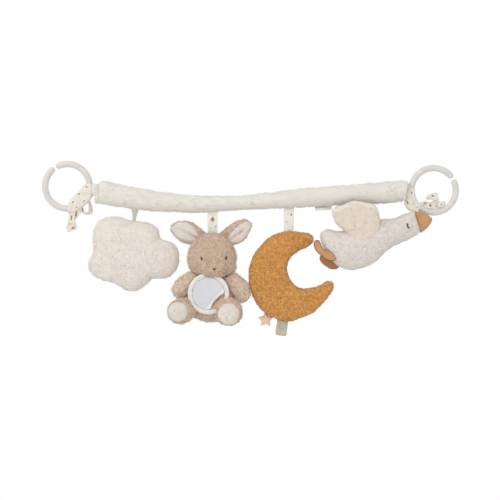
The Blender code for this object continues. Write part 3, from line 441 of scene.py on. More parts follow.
def roughen(mesh, amounts, edge_amounts=()):
    """Moves each point along its normal by noise, (height, spacing) pairs, some only near the outline."""
    spots = points_of(mesh)
    normals = normals_of(mesh)
    total = np.zeros(len(spots))
    sideways = (1 - np.abs(normals[:, 1])) ** 2
    for height, spacing in amounts:
        total += height * noise_at(spots, spacing)
    for height, spacing in edge_amounts:
        total += height * noise_at(spots, spacing) * sideways
    set_points(mesh, spots + normals * total[:, None])


def stretch(mesh, share, shift=(0, 0, 0)):
    """Grows a piece from its own lower left corner, and moves it."""
    spots = points_of(mesh)
    corner = spots.min(axis=0) * (1, 0, 1)
    set_points(mesh, corner + (spots - corner) * share + shift)


def seam_groove(mesh, depth, width, at_y=0.0):
    """A sewn seam round a piece, drawn in where its front and back meet."""
    spots = points_of(mesh)
    normals = normals_of(mesh)
    edge = np.exp(-(((spots[:, 1] - at_y) / width) ** 2)) * (1 - np.abs(normals[:, 1])) ** 0.5
    set_points(mesh, spots - normals * (depth * edge)[:, None])


def smooth_shaded(mesh):
    mesh.polygons.foreach_set("use_smooth", [True] * len(mesh.polygons))
    mesh.update()
    return mesh


TUFT_SIZE = 7
TUFT_LEAN = 0.7
STRAND_LEAN = 0.25
SHORTEST = 0.55
LENGTH_SPREAD = 0.75
STRAND_DROOP = 0.35
STRAND_TAPER = 0.55
ROOT_DEPTH = 0.12


def tuft_pull(random, roots, tuft, curl):
    """For each strand, the way to its tuft's middle and its tuft's own lean."""
    count = max(1, int(len(roots) / TUFT_SIZE))
    middles = random.choice(len(roots), count, replace=False)
    tree = KDTree(count)
    for index, middle in enumerate(middles):
        tree.insert(roots[middle], index)
    tree.balance()
    nearest = np.array([tree.find(root)[1] for root in roots])
    leans = curl * random.normal(size=(count, 3))
    return (roots[middles[nearest]] - roots) * tuft, leans[nearest]


def pile_mesh(name, mesh, spacing, length, thickness, comb, curl, seed, segments=2, keep=None, tuft=0.0):
    """Tufts over a surface: tapered three-sided strands that lean with the comb and curl."""
    mesh.calc_loop_triangles()
    count = len(mesh.loop_triangles)
    corners = np.empty(count * 3, dtype=np.int64)
    mesh.loop_triangles.foreach_get("vertices", corners)
    corners = corners.reshape(-1, 3)
    spots = points_of(mesh)
    normals = normals_of(mesh)
    a, b, c = (spots[corners[:, k]] for k in range(3))
    areas = np.linalg.norm(np.cross(b - a, c - a), axis=1) / 2
    random = np.random.default_rng(seed)
    total = int(areas.sum() / spacing**2)
    chosen = random.choice(count, total, p=areas / areas.sum())
    u = random.random((total, 2))
    over = u.sum(axis=1) > 1
    u[over] = 1 - u[over]
    w = np.column_stack((1 - u.sum(axis=1), u))
    roots = np.einsum("ij,ijk->ik", w, spots[corners[chosen]])
    out = np.einsum("ij,ijk->ik", w, normals[corners[chosen]])
    if keep is not None:
        kept = keep(roots)
        roots, out = roots[kept], out[kept]
        total = len(roots)
    out /= np.linalg.norm(out, axis=1, keepdims=True)
    lengths = length * (SHORTEST + LENGTH_SPREAD * random.random(total))
    pull, tuft_lean = tuft_pull(random, roots, tuft, curl)
    lean = (comb(roots) if callable(comb) else np.array(comb)) + tuft_lean * TUFT_LEAN
    lean = lean + curl * random.normal(size=(total, 3)) * STRAND_LEAN
    lean -= out * np.einsum("ij,ij->i", lean, out)[:, None]
    bend = curl * random.normal(size=(total, 3))
    bend -= out * np.einsum("ij,ij->i", bend, out)[:, None]
    side = np.cross(out, random.normal(size=(total, 3)))
    side /= np.linalg.norm(side, axis=1, keepdims=True)
    rows = []
    for index in range(segments + 1):
        t = index / segments
        rise = out * (t - STRAND_DROOP * t * t)
        middle = roots + (rise + lean * t * t + bend * t * (1 - t)) * lengths[:, None]
        middle += pull * t * t
        middle -= out * (ROOT_DEPTH * length)
        if index == segments:
            rows.append(middle[:, None, :])
            continue
        radius = thickness * (1 - STRAND_TAPER * t)
        other = np.cross(out, side)
        ring = [
            middle + radius * (side * math.cos(turn) + other * math.sin(turn))
            for turn in (0, math.tau / 3, 2 * math.tau / 3)
        ]
        rows.append(np.stack(ring, axis=1))
    strand = np.concatenate(rows, axis=1)
    size = strand.shape[1]
    faces = []
    for index in range(segments):
        for turn in range(3):
            after = (turn + 1) % 3
            low = index * 3
            if index == segments - 1:
                faces.append((low + turn, low + after, segments * 3, -1))
            else:
                faces.append((low + turn, low + after, low + 3 + after, low + 3 + turn))
    faces.append((0, 2, 1, -1))
    return strands_to_mesh(name, strand.reshape(-1, 3), np.array(faces), total, size)


def strands_to_mesh(name, spots, pattern, total, size):
    """One mesh from many copies of a strand's faces."""
    sizes = np.where(pattern[:, 3] < 0, 3, 4)
    flat = np.concatenate([row[:number] for row, number in zip(pattern, sizes)])
    loops = (flat[None, :] + (np.arange(total) * size)[:, None]).ravel()
    counts = np.tile(sizes, total)
    starts = np.concatenate(([0], np.cumsum(counts)[:-1]))
    mesh = bpy.data.meshes.new(name)
    mesh.vertices.add(len(spots))
    mesh.vertices.foreach_set("co", spots.ravel())
    mesh.loops.add(len(loops))
    mesh.loops.foreach_set("vertex_index", loops.astype(np.int32))
    mesh.polygons.add(len(counts))
    mesh.polygons.foreach_set("loop_start", starts.astype(np.int32))
    mesh.polygons.foreach_set("use_smooth", np.ones(len(counts), dtype=bool))
    mesh.update()
    mesh.validate()
    return mesh


def dress(name, mesh, material, body, slot, *sources, padded=0.7, pile=None, tips=None):
    """A skin that stands for some CAD solids, with its pile."""
    piece = add_object(name, smooth_shaded(mesh), material, body, slot, *sources)
    if pile:
        fluff = pile_mesh(name + "_pile", mesh, **pile)
        # With tips, the strands wear a lighter material than the skin, so the skin carries painted shade from
        # deep in the pile.
        add_object(name + "_pile", fluff, tips or material, body, slot)
    return piece


PIXEL = 1.154 * MM
VIEW_MIDDLE = 250.0
VIEW_FAR = 577 / 36 * 150 * MM


def placed(pixel, depth=0.0):
    """A place of the front view at a depth, in the frame's X and Z."""
    far = (VIEW_FAR + depth) / VIEW_FAR
    across = VIEW_CENTRE[0] + (pixel[0] - VIEW_MIDDLE) * PIXEL * far
    up = VIEW_CENTRE[2] - (pixel[1] - VIEW_MIDDLE) * PIXEL * far
    return Vector((across, 0, up))


def between(p0, p1, p2, p3, t):
    """The smooth line's place between the second and the third of four corners."""
    return 0.5 * ((2 * p1) + (p2 - p0) * t + (2 * p0 - 5 * p1 + 4 * p2 - p3) * t * t
                  + (3 * p1 - p0 - 3 * p2 + p3) * t ** 3)


def rounded_outline(corners, count):
    """A closed smooth line through corners."""
    size = len(corners)
    spots = []
    for step in range(count):
        place = size * step / count
        k = int(place)
        around = [corners[(k + shift) % size] for shift in (-1, 0, 1, 2)]
        spots.append(between(*around, place - k))
    return spots


def smooth_line(values, count):
    """Points along an open smooth line through some others."""
    values = [values[0] * 2 - values[1], *values, values[-1] * 2 - values[-2]]
    spots = []
    for step in range(count + 1):
        place = (len(values) - 3) * step / count
        k = min(int(place), len(values) - 4)
        spots.append(between(*values[k:k + 4], place - k))
    return spots


def from_line(spot, first, last):
    """How far along a straight line the nearest place to a spot lies, and how far away."""
    along = max(0, min(1, (spot - first).dot(last - first) / (last - first).length_squared))
    return along, (spot - first.lerp(last, along)).length


def drawn_back(y, spot, folds):
    """A depth with folds added to it: each is (first, last, depth, reach)."""
    for first, last, depth, reach in folds:
        y += depth * math.exp(-(from_line(spot, first, last)[1] / reach) ** 2)
    return y


def placed_folds(folds):
    return [(placed(first), placed(last), depth, reach) for first, last, depth, reach in folds]


def inside_outline(edge, x, z):
    """Which of many places lie inside a closed outline."""
    inside = np.zeros(x.shape, dtype=bool)
    for first, second in zip(edge, np.roll(edge, -1, axis=0)):
        crosses = (first[1] > z) != (second[1] > z)
        rise = second[1] - first[1]
        rise = rise if abs(rise) > 1e-9 else 1e-9
        inside ^= crosses & (x < (second[0] - first[0]) * (z - first[1]) / rise + first[0])
    return inside


def filled_depth(edge, step):
    """Half the thickness of a cover filled between two flat panels, as a field over its outline."""
    low = edge.min(axis=0) - 2 * step
    size = ((edge.max(axis=0) - low) / step).astype(int) + 3
    x, z = np.meshgrid(low[0] + step * np.arange(size[0]), low[1] + step * np.arange(size[1]), indexing="ij")
    inside = inside_outline(edge, x, z)
    field = np.zeros(x.shape)
    for turn in range(2500):
        beside = field[2:, 1:-1] + field[:-2, 1:-1] + field[1:-1, 2:] + field[1:-1, :-2]
        around = (beside + 2 * step * step) / 4
        field[1:-1, 1:-1] = np.where(inside[1:-1, 1:-1], around, 0.0)

    def depth_at(spots):
        place = (spots - low) / step
        corner = place.astype(int)
        part = place - corner
        i, j = corner[:, 0], corner[:, 1]
        u, v = part[:, 0], part[:, 1]
        value = (field[i, j] * (1 - u) * (1 - v) + field[i + 1, j] * u * (1 - v)
                 + field[i, j + 1] * (1 - u) * v + field[i + 1, j + 1] * u * v)
        return np.sqrt(np.maximum(value, 0))
    return depth_at


def stuffed(name, outline, middle, fullness=1.0, cap=1.0, fine=1.6 * MM, count=150, follow=None):
    """A cover cut to an outline and filled: round where it is narrow, no thicker than the cap."""
    edge = np.array([(v.x, v.z) for v in rounded_outline([placed(spot, middle) for spot in outline], count)])
    depth_at = filled_depth(edge, fine / 2)
    low, high = edge.min(axis=0), edge.max(axis=0)
    rows = []
    for row in range(int((high[1] - low[1]) / (fine * 0.866)) + 1):
        shift = fine / 2 * (row % 2)
        for column in range(int((high[0] - low[0]) / fine) + 1):
            rows.append((low[0] + column * fine + shift, low[1] + row * fine * 0.866))
    rows = np.array(rows)
    rows = rows[inside_outline(edge, rows[:, 0], rows[:, 1])]
    away = np.linalg.norm(rows[:, None, :] - edge[None, :, :], axis=2).min(axis=1)
    rows = rows[away > 0.6 * fine]
    flat = np.concatenate((edge, rows))
    edges = [(k, (k + 1) % count) for k in range(count)]
    result = delaunay_2d_cdt([Vector(spot) for spot in flat], edges, [], 1, 1e-7)
    spots = np.array([tuple(vert) for vert in result[0]])
    depth = depth_at(spots) * fullness
    depth = cap * np.tanh(depth / cap)
    at_edge = {k for k in range(len(spots)) if any(origin < count for origin in result[3][k])}
    work = bmesh.new()
    front = []
    back = []
    for k, spot in enumerate(spots):
        centre = middle if follow is None else follow(spot[0], spot[1])
        if k in at_edge:
            vert = work.verts.new((spot[0], centre, spot[1]))
            front.append(vert)
            back.append(vert)
            continue
        front.append(work.verts.new((spot[0], centre - depth[k], spot[1])))
        back.append(work.verts.new((spot[0], centre + depth[k], spot[1])))
    for face in result[2]:
        if all(k in at_edge for k in face):
            continue
        work.faces.new([front[k] for k in face])
        work.faces.new([back[k] for k in reversed(face)])
    return mesh_of(work, name + "_panels")


# Bar

def bar_profile(x):
    """The bar's middle height and radius at x, read from its solid."""
    up = bar_tree.ray_cast(Vector((x, 0, 0.2)), -UP)[0]
    down = bar_tree.ray_cast(Vector((x, 0, -0.2)), UP)[0]
    return (up.z + down.z) / 2, (up.z - down.z) / 2


bar_solid = bmesh.new()
for bar_name in ("bar_cover", "bar_end_left", "bar_end_right"):
    bar_solid.from_mesh(nodes[bar_name].data)
bar_tree = BVHTree.FromBMesh(bar_solid)
bar_solid.free()
solid_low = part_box("bar_end_left")[0][0]
solid_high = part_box("bar_end_right")[1][0]
bar_low = solid_low - 2.2 * MM
bar_high = solid_high + 3.0 * MM

BAR_STATIONS = 250
BAR_SIDES = 60
BAR_CAPS = 6
BAR_ROUND = 2.2 * MM
BAR_ROUND_LENGTH = 0.6
BAR_EDGE = 1.5 * MM
BAR_TOP_LEFT = (9.5 * MM, 9.0 * MM)
BAR_TOP_RIGHT = (3.5 * MM, 3.0 * MM)
BAR_FLARE = 1.9 * MM
BAR_FLARE_PLACE = 12 * MM
BAR_FLARE_REACH = 9 * MM
BAR_LEAN_RIGHT = 5.0 * MM
BAR_LEAN_REACH = 22 * MM
FLEECE_PILE = dict(spacing=1.25 * MM, length=1.3 * MM, thickness=0.16 * MM, comb=(0, 0, -0.9), curl=0.6)


def bar_corner(away, corner):
    """How much lower the top lies at a distance from an end whose top corner is rounded."""
    share = 1 - min(1, max(0, away / corner[0]))
    return corner[1] * (1 - math.sqrt(1 - share * share))


def bar_mesh():
    """The fleece sleeve: a closed loft with soft rounded ends."""
    work = bmesh.new()
    rows = []
    turns = [math.pi / 2 * step / BAR_CAPS for step in range(BAR_CAPS)]
    ends = [
        (BAR_ROUND * (1 - math.cos(turn)) * BAR_ROUND_LENGTH, BAR_ROUND * (1 - math.sin(turn)))
        for turn in turns
    ]
    straight = bar_high - bar_low - 2 * BAR_ROUND
    stations = [(bar_low + inward, less) for inward, less in ends]
    steps = range(BAR_STATIONS + 1)
    stations += [(bar_low + BAR_ROUND + straight * step / BAR_STATIONS, 0.0) for step in steps]
    stations += [(bar_high - inward, less) for inward, less in reversed(ends)]
    for x, less in stations:
        height, radius = bar_profile(min(max(x, solid_low + BAR_EDGE), solid_high - BAR_EDGE))
        drop = bar_corner(x - bar_low, BAR_TOP_LEFT) + bar_corner(bar_high - x, BAR_TOP_RIGHT)
        flare = BAR_FLARE * math.exp(-((x - bar_low - BAR_FLARE_PLACE) / BAR_FLARE_REACH) ** 2)
        row = []
        for side in range(BAR_SIDES):
            turn = math.tau * side / BAR_SIDES
            upward = -math.cos(turn)
            reach = radius - less + (flare - drop) * max(0, upward)
            lean = BAR_LEAN_RIGHT * max(0, 1 - (bar_high - x) / BAR_LEAN_REACH) * (1 - upward) / 2
            row.append(work.verts.new((x - lean, reach * math.sin(turn), height + reach * upward)))
        rows.append(row)
    join_rows(work, rows)
    for row in (rows[0], rows[-1]):
        centre = Vector((0, 0, 0))
        for vert in row:
            centre += vert.co / BAR_SIDES
        close_ring(work, row, work.verts.new(centre))
    return mesh_of(work, "bar_fleece")


bar_skin = bar_mesh()
roughen(bar_skin, ((0.7 * MM, 18 * MM),), ((1.3 * MM, 4.0 * MM),))
dress(
    "bar_fleece", bar_skin, fleece, "bar", "fleece", "bar_cover", "bar_end_left", "bar_end_right",
    pile=dict(FLEECE_PILE, seed=3),
)
nodes["bar_core"].data.materials.clear()
nodes["bar_core"].data.materials.append(foam)


# Cloud

CLOUD_PUFF = dict(pressure=3.0, cap=2.5 * MM, shrink=1.0 * MM, ease=5)
cloud_skin = fine_solid("cloud_skin", nodes["cloud"].data, 1.8 * MM, 10, puff=CLOUD_PUFF, settled=True)
stretch(cloud_skin, (1.016, 1.0, 1.03), (-0.6 * MM, 0, -0.2 * MM))
seam_groove(cloud_skin, 0.9 * MM, 1.2 * MM)
roughen(cloud_skin, ((0.8 * MM, 20 * MM),), ((1.7 * MM, 4.6 * MM),))
dress("cloud_fleece", cloud_skin, cloud_plush, "cloud_toy", "fleece", "cloud", pile=dict(FLEECE_PILE, seed=5))


# Moon

MOON_OUTLINE = (
    (291.0, 230.8), (300.0, 232.0), (308.0, 232.9), (313.4, 236.4), (313.0, 242.4), (307.0, 247.4),
    (300.0, 250.2), (293.6, 254.2), (288.8, 260.6), (287.0, 267.6), (288.4, 274.9), (291.8, 281.5),
    (296.8, 286.7), (304.3, 288.7), (312.6, 287.7), (320.0, 285.4), (324.4, 281.8), (328.6, 280.2),
    (333.2, 281.6), (334.2, 285.8), (332.4, 291.0), (322.6, 303.8), (312.9, 312.4), (301.9, 317.6),
    (289.9, 321.6), (278.6, 319.4), (266.7, 314.2), (258.2, 305.6), (252.1, 294.5), (248.7, 282.5),
    (248.7, 270.5), (252.1, 258.5), (259.0, 247.5), (270.2, 237.0), (281.4, 232.0),
)
moon_panels = stuffed("moon", MOON_OUTLINE, 0.0, fullness=0.9, cap=14.5 * MM)
moon_skin = fine_solid("moon_skin", moon_panels, 1.6 * MM, 3)
seam_groove(moon_skin, 0.8 * MM, 1.1 * MM)
MOON_NOISE = ((0.7 * MM, 16 * MM), (0.3 * MM, 3.0 * MM), (0.25 * MM, 1.6 * MM))
roughen(moon_skin, MOON_NOISE, ((0.5 * MM, 4.0 * MM),))
BOUCLE_PILE = dict(
    spacing=1.0 * MM, length=1.4 * MM, thickness=0.36 * MM, comb=(0, 0, 0), curl=1.1, segments=3,
    seed=7, tuft=0.45,
)
dress("moon_boucle", moon_skin, boucle_shaded, "moon_toy", "moon", "moon", pile=BOUCLE_PILE, tips=boucle_tips)


# Ribbons, labels and print

RIBBON_WAVE = 0.35 * MM


def waved(mesh, spacing):
    """Long soft folds: noise stretched along one direction."""
    spots = points_of(mesh)
    spots[:, 1] += RIBBON_WAVE * noise_at(spots * (1, 0.3, 1), spacing)
    set_points(mesh, spots)


def ribbon(name, source, body, bow=0.0, up=0.0):
    """A woven strap on its CAD strip, with soft waves and a slight bow between its ends."""
    mesh = fine_solid(name, nodes[source].data, 0.42 * MM, 2, 0)
    low, high = (np.array(corner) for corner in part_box(source))
    spots = points_of(mesh)
    along = (spots[:, 2] - low[2]) / (high[2] - low[2])
    spots[:, 1] -= bow * np.sin(np.pi * np.clip(along, 0, 1))
    spots[:, 2] += up * np.clip((along - 0.75) / 0.25, 0, 1)
    set_points(mesh, spots)
    waved(mesh, 7 * MM)
    return add_object(name, smooth_shaded(mesh), strap_white, body, "ribbon", source)


MOTIFS = {
    "diamond": (
        (0.0, 1.0), (0.5, 0.5), (1.0, 0.0), (0.5, -0.5), (0.0, -1.0), (-0.5, -0.5), (-1.0, 0.0), (-0.5, 0.5),
    ),
    "dot": tuple((math.cos(math.tau * k / 10), math.sin(math.tau * k / 10)) for k in range(10)),
    "dash": (
        (-0.7, -1.0), (0.7, -1.0), (1.0, -0.8), (1.0, -0.3), (1.0, 0.3), (1.0, 0.8), (0.7, 1.0), (-0.7, 1.0),
        (-1.0, 0.8), (-1.0, 0.3), (-1.0, -0.3), (-1.0, -0.8),
    ),
}


PRINT_LIFT = 0.06
PRINT_MIDDLE_LIFT = 0.1


def printed(name, base, body, marks):
    """Small gold marks on a ribbon's front: (kind, place in the view, half width, half height, turn)."""
    tree = surface_of(base.data)
    back = Vector((0, 1, 0))
    work = bmesh.new()
    for kind, spot_in_view, wide, tall, turn in marks:
        start = placed(spot_in_view, -4 * MM) + Vector((0, -0.08, 0))
        spot, normal = tree.ray_cast(start, back)[:2]
        if spot is None:
            continue
        frame_turn = Matrix.Rotation(math.radians(turn), 3, "Y")
        verts = []
        for across, up in MOTIFS[kind]:
            offset = frame_turn @ Vector((across * wide * MM, 0, up * tall * MM))
            edge = tree.ray_cast(start + offset, back)[0]
            verts.append((edge if edge else spot + offset) + normal * PRINT_LIFT * MM)
        middle = work.verts.new(spot + normal * PRINT_MIDDLE_LIFT * MM)
        close_ring(work, [work.verts.new(vert) for vert in verts], middle)
    return add_object(name, mesh_of(work, name), print_gold, body, "ribbon")


def tube(work, points, radius, closed=False, sides=6):
    """A round thread along points, added to a bmesh."""
    count = len(points)
    rows = []
    for index, point in enumerate(points):
        before = points[(index - 1) % count] if closed or index else point
        after = points[(index + 1) % count] if closed or index < count - 1 else point
        way = (after - before).normalized()
        side = way.orthogonal().normalized()
        if abs(way.y) < 0.9:
            side = way.cross(Vector((0, 1, 0))).normalized()
        other = way.cross(side)
        small = radius if closed or 0 < index < count - 1 else radius * 0.5
        turns = [math.tau * k / sides for k in range(sides)]
        rows.append([
            work.verts.new(point + small * (side * math.cos(turn) + other * math.sin(turn))) for turn in turns
        ])
    join_rows(work, rows, closed)
    if not closed:
        work.faces.new(rows[0])
        work.faces.new(rows[-1])


def threads(name, runs, radius, material, body, slot, *sources, closed=False):
    """Several stitched threads as one piece."""
    work = bmesh.new()
    for run in runs:
        tube(work, [Vector(point) for point in run], radius, closed)
    return add_object(name, smooth_shaded(mesh_of(work, name)), material, body, slot, *sources)


# Rings

RINGS = {
    "left": (Vector((-211.25, 0, 2.4)) * MM, 123.0),
    "right": (Vector((211.25, 0, -2.2)) * MM, 31.0),
}
RING_REACH = 25.65 * MM
RING_ROD = 3.6 * MM
RING_SPLIT = 2.4 * MM
RING_STEPS = 150
RING_SIDES = 28
RING_CAPS = 7
MOULD_LINE = 0.02
MOULD_LINE_WIDTH = 0.12


def make_ring(side):
    """A split ring with round ends and a fine mould line round its rod."""
    centre, split = RINGS[side]
    open_half = math.degrees((RING_SPLIT / 2 + RING_ROD) / RING_REACH)
    start = math.radians(split + open_half)
    finish = math.radians(split - open_half) + math.tau
    turns = [math.pi / 2 * (1 - cap / RING_CAPS) for cap in range(RING_CAPS)]
    ends = [(math.sin(turn) * RING_ROD / RING_REACH, max(math.cos(turn), 0.02)) for turn in turns]
    places = [(start - beyond, share) for beyond, share in ends]
    places += [(start + (finish - start) * step / RING_STEPS, 1.0) for step in range(RING_STEPS + 1)]
    places += [(finish + beyond, share) for beyond, share in reversed(ends)]
    work = bmesh.new()
    rows = []
    for angle, share in places:
        outward = Vector((math.cos(angle), 0, math.sin(angle)))
        row = []
        for k in range(RING_SIDES):
            turn = math.tau * k / RING_SIDES
            line = MOULD_LINE * math.exp(-(math.sin(turn) / MOULD_LINE_WIDTH) ** 2)
            rod = RING_ROD * share * (1 + line)
            inward = outward * (RING_REACH + rod * math.cos(turn))
            row.append(work.verts.new(centre + inward + Vector((0, rod * math.sin(turn), 0))))
        rows.append(row)
    join_rows(work, rows)
    work.faces.new(rows[0])
    work.faces.new(rows[-1])
    name = "ring_gloss_" + side
    mesh = smooth_shaded(mesh_of(work, name))
    add_object(name, mesh, ring_gloss, "ring_" + side, "plastic", "ring_" + side)


make_ring("left")
make_ring("right")


# Ties

def cloth(name, source, outline, body, place=0.0, folds=(), wave=RIBBON_WAVE):
    """A ribbon cut to its outline: thin, softly waved, with folds as (start, finish, depth, reach)."""
    lines = placed_folds(folds)

    def follow(x, z):
        y = place + wave * noise.noise(Vector((x, 3.1 * MM, z)) / (7 * MM))
        return drawn_back(y, Vector((x, 0, z)), lines)
    mesh = stuffed(name, outline, 0.0, 1.0, 0.28 * MM, fine=0.8 * MM, count=100, follow=follow)
    return add_object(name, smooth_shaded(mesh), ribbon_white, body, "ribbon", source)


SLEEVE_SIDES = 36
SLEEVE_DEPTH = 5.0 * MM
SLEEVE_WALL = 0.4 * MM
SLEEVE_WAVE = 0.5 * MM
SLEEVE_SQUARENESS = 0.62


def squared(share):
    """A circle's share, pushed out toward a rounded rectangle's."""
    return math.copysign(abs(share) ** SLEEVE_SQUARENESS, share)


def sleeve(side, rows, folds=()):
    """The ribbon wound round a ring: a flat open sleeve between its outer and its inner edge."""
    name = "tie_%s_band" % side
    outer = smooth_line([placed(row[0]) for row in rows], 60)
    inner = smooth_line([placed(row[1]) for row in rows], 60)
    lines = placed_folds(folds)
    work = bmesh.new()
    layers = []
    for less in (0.0, SLEEVE_WALL):
        layer = []
        for start, finish in zip(outer, inner):
            half = (finish - start) / 2
            middle = start + half
            along = half.normalized()
            row = []
            for k in range(SLEEVE_SIDES):
                turn = math.tau * k / SLEEVE_SIDES
                deep = squared(math.sin(turn))
                spot = middle + along * (half.length - less) * squared(math.cos(turn))
                place = Vector((spot.x, math.copysign(9, deep) * MM, spot.z)) / (6 * MM)
                y = SLEEVE_WAVE * noise.noise(place) - (SLEEVE_DEPTH - less) * deep
                if deep > 0:
                    y = drawn_back(y, spot, lines)
                row.append(work.verts.new((spot.x, y, spot.z)))
            layer.append(row)
        layers.append(layer)
    for layer in layers:
        join_rows(work, layer)
    for end in (0, -1):
        join_rows(work, [layer[end] for layer in layers])
    mesh = mesh_of(work, name + "_cloth")
    return add_object(name + "_cloth", smooth_shaded(mesh), ribbon_white, "tie_" + side, "ribbon", name)


LOOP_STEPS = 48
LOOP_SIDES = 8
LOOP_HALF = 0.2


def looped(name, source, path, width, body):
    """A ribbon on edge along a path: (place in the front view, how much of its width is seen)."""
    spots = smooth_line([placed(spot) for spot, seen in path], LOOP_STEPS)
    seen = smooth_line([np.array([seen]) for spot, seen in path], LOOP_STEPS)
    work = bmesh.new()
    rows = []
    for k, (spot, share) in enumerate(zip(spots, seen)):
        way = (spots[min(k + 1, LOOP_STEPS)] - spots[max(k - 1, 0)]).normalized()
        flat = way.cross(Vector((0, 1, 0))).normalized()
        lean = math.asin(min(0.9, share[0] * PIXEL / width))
        across = flat * math.sin(lean) + Vector((0, 1, 0)) * math.cos(lean)
        out = way.cross(across).normalized()
        places = [spot + across * width * (step / LOOP_SIDES - 0.5) for step in range(LOOP_SIDES + 1)]
        row = [place + out * LOOP_HALF * MM for place in places]
        row += [place - out * LOOP_HALF * MM for place in reversed(places)]
        rows.append([work.verts.new(vert) for vert in row])
    join_rows(work, rows)
    work.faces.new(rows[0])
    work.faces.new(rows[-1])
    return add_object(name, smooth_shaded(mesh_of(work, name)), ribbon_white, body, "ribbon", source)


band_left = sleeve("left", (
    ((96.0, 185.6), (88.2, 182.6)), ((95.4, 192.0), (84.6, 184.6)), ((92.0, 197.2), (80.8, 189.0)),
    ((89.0, 202.0), (76.6, 193.6)), ((84.2, 206.0), (72.4, 197.6)), ((79.8, 209.4), (69.2, 201.8)),
    ((75.0, 212.0), (68.0, 206.4)), ((70.6, 212.8), (67.4, 210.0)),
), folds=(
    ((80.4, 193.4), (91.4, 194.4), 0.9 * MM, 0.8 * MM), ((83.0, 195.6), (88.5, 198.0), 0.5 * MM, 1.4 * MM),
))
cloth("tie_left_root_cloth", "tie_left_root", (
    (91.6, 186.4), (93.2, 184.2), (95.8, 183.6), (98.4, 184.8), (98.6, 189.0), (97.6, 193.6), (95.0, 195.4),
    (92.6, 194.6),
), "tie_left", place=-5.3 * MM)
tail_short = cloth("tie_left_tail_short_cloth", "tie_left_tail_short", (
    (73.4, 211.0), (77.2, 209.8), (81.4, 210.0), (81.0, 213.0), (78.6, 216.0), (75.8, 219.2), (74.2, 217.0),
    (73.2, 213.6),
), "tie_left", place=-1.4 * MM)
tail_long = cloth("tie_left_tail_long_cloth", "tie_left_tail_long", (
    (68.2, 210.2), (72.0, 210.8), (75.8, 210.6), (75.3, 214.8), (75.0, 218.6), (75.6, 222.0), (76.8, 226.4),
    (76.8, 229.2), (73.6, 230.4), (70.4, 231.4), (68.3, 231.9), (67.2, 229.4), (66.3, 226.7), (67.6, 224.8),
    (68.0, 222.4), (68.9, 218.0), (69.2, 214.6),
), "tie_left", place=-2.4 * MM, folds=(((67.6, 225.4), (76.4, 225.0), 1.2 * MM, 1.6 * MM),), wave=0.8 * MM)
bow_loop = looped("tie_left_bow_cloth", "tie_left_bow", (
    ((88.6, 199.8), 1.8), ((89.8, 204.0), 2.2), ((90.6, 208.0), 3.4), ((90.4, 211.6), 4.0),
    ((88.0, 213.4), 2.4), ((85.2, 213.2), 1.8), ((83.2, 211.2), 2.4), ((82.2, 207.6), 2.6),
), 8.0 * MM, "tie_left")

band_right = sleeve("right", (
    ((408.6, 187.4), (414.9, 187.6)), ((408.0, 191.0), (415.0, 190.8)), ((406.9, 195.4), (415.3, 194.4)),
    ((405.0, 199.6), (416.4, 198.2)), ((404.2, 203.2), (418.2, 201.4)), ((405.6, 206.8), (420.2, 204.2)),
    ((408.2, 210.0), (420.6, 207.4)), ((412.0, 211.8), (420.0, 209.6)),
))
cloth("tie_right_root_cloth", "tie_right_root", (
    (407.6, 185.4), (409.6, 185.0), (410.6, 190.0), (410.0, 196.0), (406.6, 197.4), (405.4, 196.0),
    (406.8, 190.0),
), "tie_right", place=-4.2 * MM)
sash = cloth("tie_right_sash_cloth", "tie_right_sash", (
    (417.4, 206.8), (419.6, 203.0), (422.0, 201.8), (425.6, 200.8), (429.2, 202.4), (433.6, 200.4),
    (438.0, 200.8), (441.6, 202.8), (444.0, 203.2), (443.6, 205.4), (440.4, 208.0), (436.0, 208.9),
    (431.0, 209.1), (426.0, 208.5), (421.0, 207.6),
), "tie_right", folds=(((421.0, 206.4), (432.0, 204.0), 0.8 * MM, 1.3 * MM),), wave=0.8 * MM)
tail_upper = cloth("tie_right_tail_upper_cloth", "tie_right_tail_upper", (
    (425.8, 198.3), (427.0, 196.0), (430.0, 193.9), (433.4, 193.0), (437.0, 192.8), (437.6, 196.4),
    (439.0, 200.4), (438.4, 202.2), (435.2, 202.0), (433.0, 199.9), (430.4, 199.3), (427.8, 199.8),
), "tie_right", place=-2.6 * MM, folds=(((427.0, 198.8), (435.4, 200.8), 1.0 * MM, 1.0 * MM),), wave=0.8 * MM)
tail_lower = cloth("tie_right_tail_lower_cloth", "tie_right_tail_lower", (
    (437.6, 201.6), (441.2, 202.3), (444.6, 201.2), (445.3, 204.3), (442.6, 206.9), (439.4, 207.6),
    (436.9, 205.4),
), "tie_right", place=-2.0 * MM, wave=0.8 * MM)

printed("tie_left_print", band_left, "tie_left", (
    ("diamond", (86.6, 186.9), 1.1, 1.3, 0), ("dot", (92.3, 189.0), 0.8, 0.8, 0),
    ("dash", (79.0, 194.0), 0.6, 1.2, 40), ("dot", (73.0, 202.0), 1.0, 1.0, 0),
    ("diamond", (84.4, 201.0), 1.0, 1.2, 15), ("dot", (76.6, 207.2), 0.7, 0.7, 0),
))
printed("tie_left_tail_print", tail_long, "tie_left", (
    ("diamond", (73.0, 227.8), 2.6, 1.7, -20), ("dash", (71.4, 217.8), 0.7, 2.6, 4),
    ("dot", (69.4, 224.0), 0.7, 0.7, 0),
))
printed("tie_left_short_print", tail_short, "tie_left", (("dash", (76.2, 214.0), 0.9, 2.9, 12),))
printed("tie_left_bow_print", bow_loop, "tie_left", (("dash", (82.6, 210.2), 1.0, 2.2, 0),))
printed("tie_right_print", band_right, "tie_right", (
    ("diamond", (411.6, 192.8), 1.3, 1.3, 10), ("dash", (407.3, 202.4), 0.9, 2.4, -24),
    ("dot", (413.6, 203.8), 0.8, 0.8, 0), ("dot", (417.2, 207.2), 0.7, 0.7, 0),
))
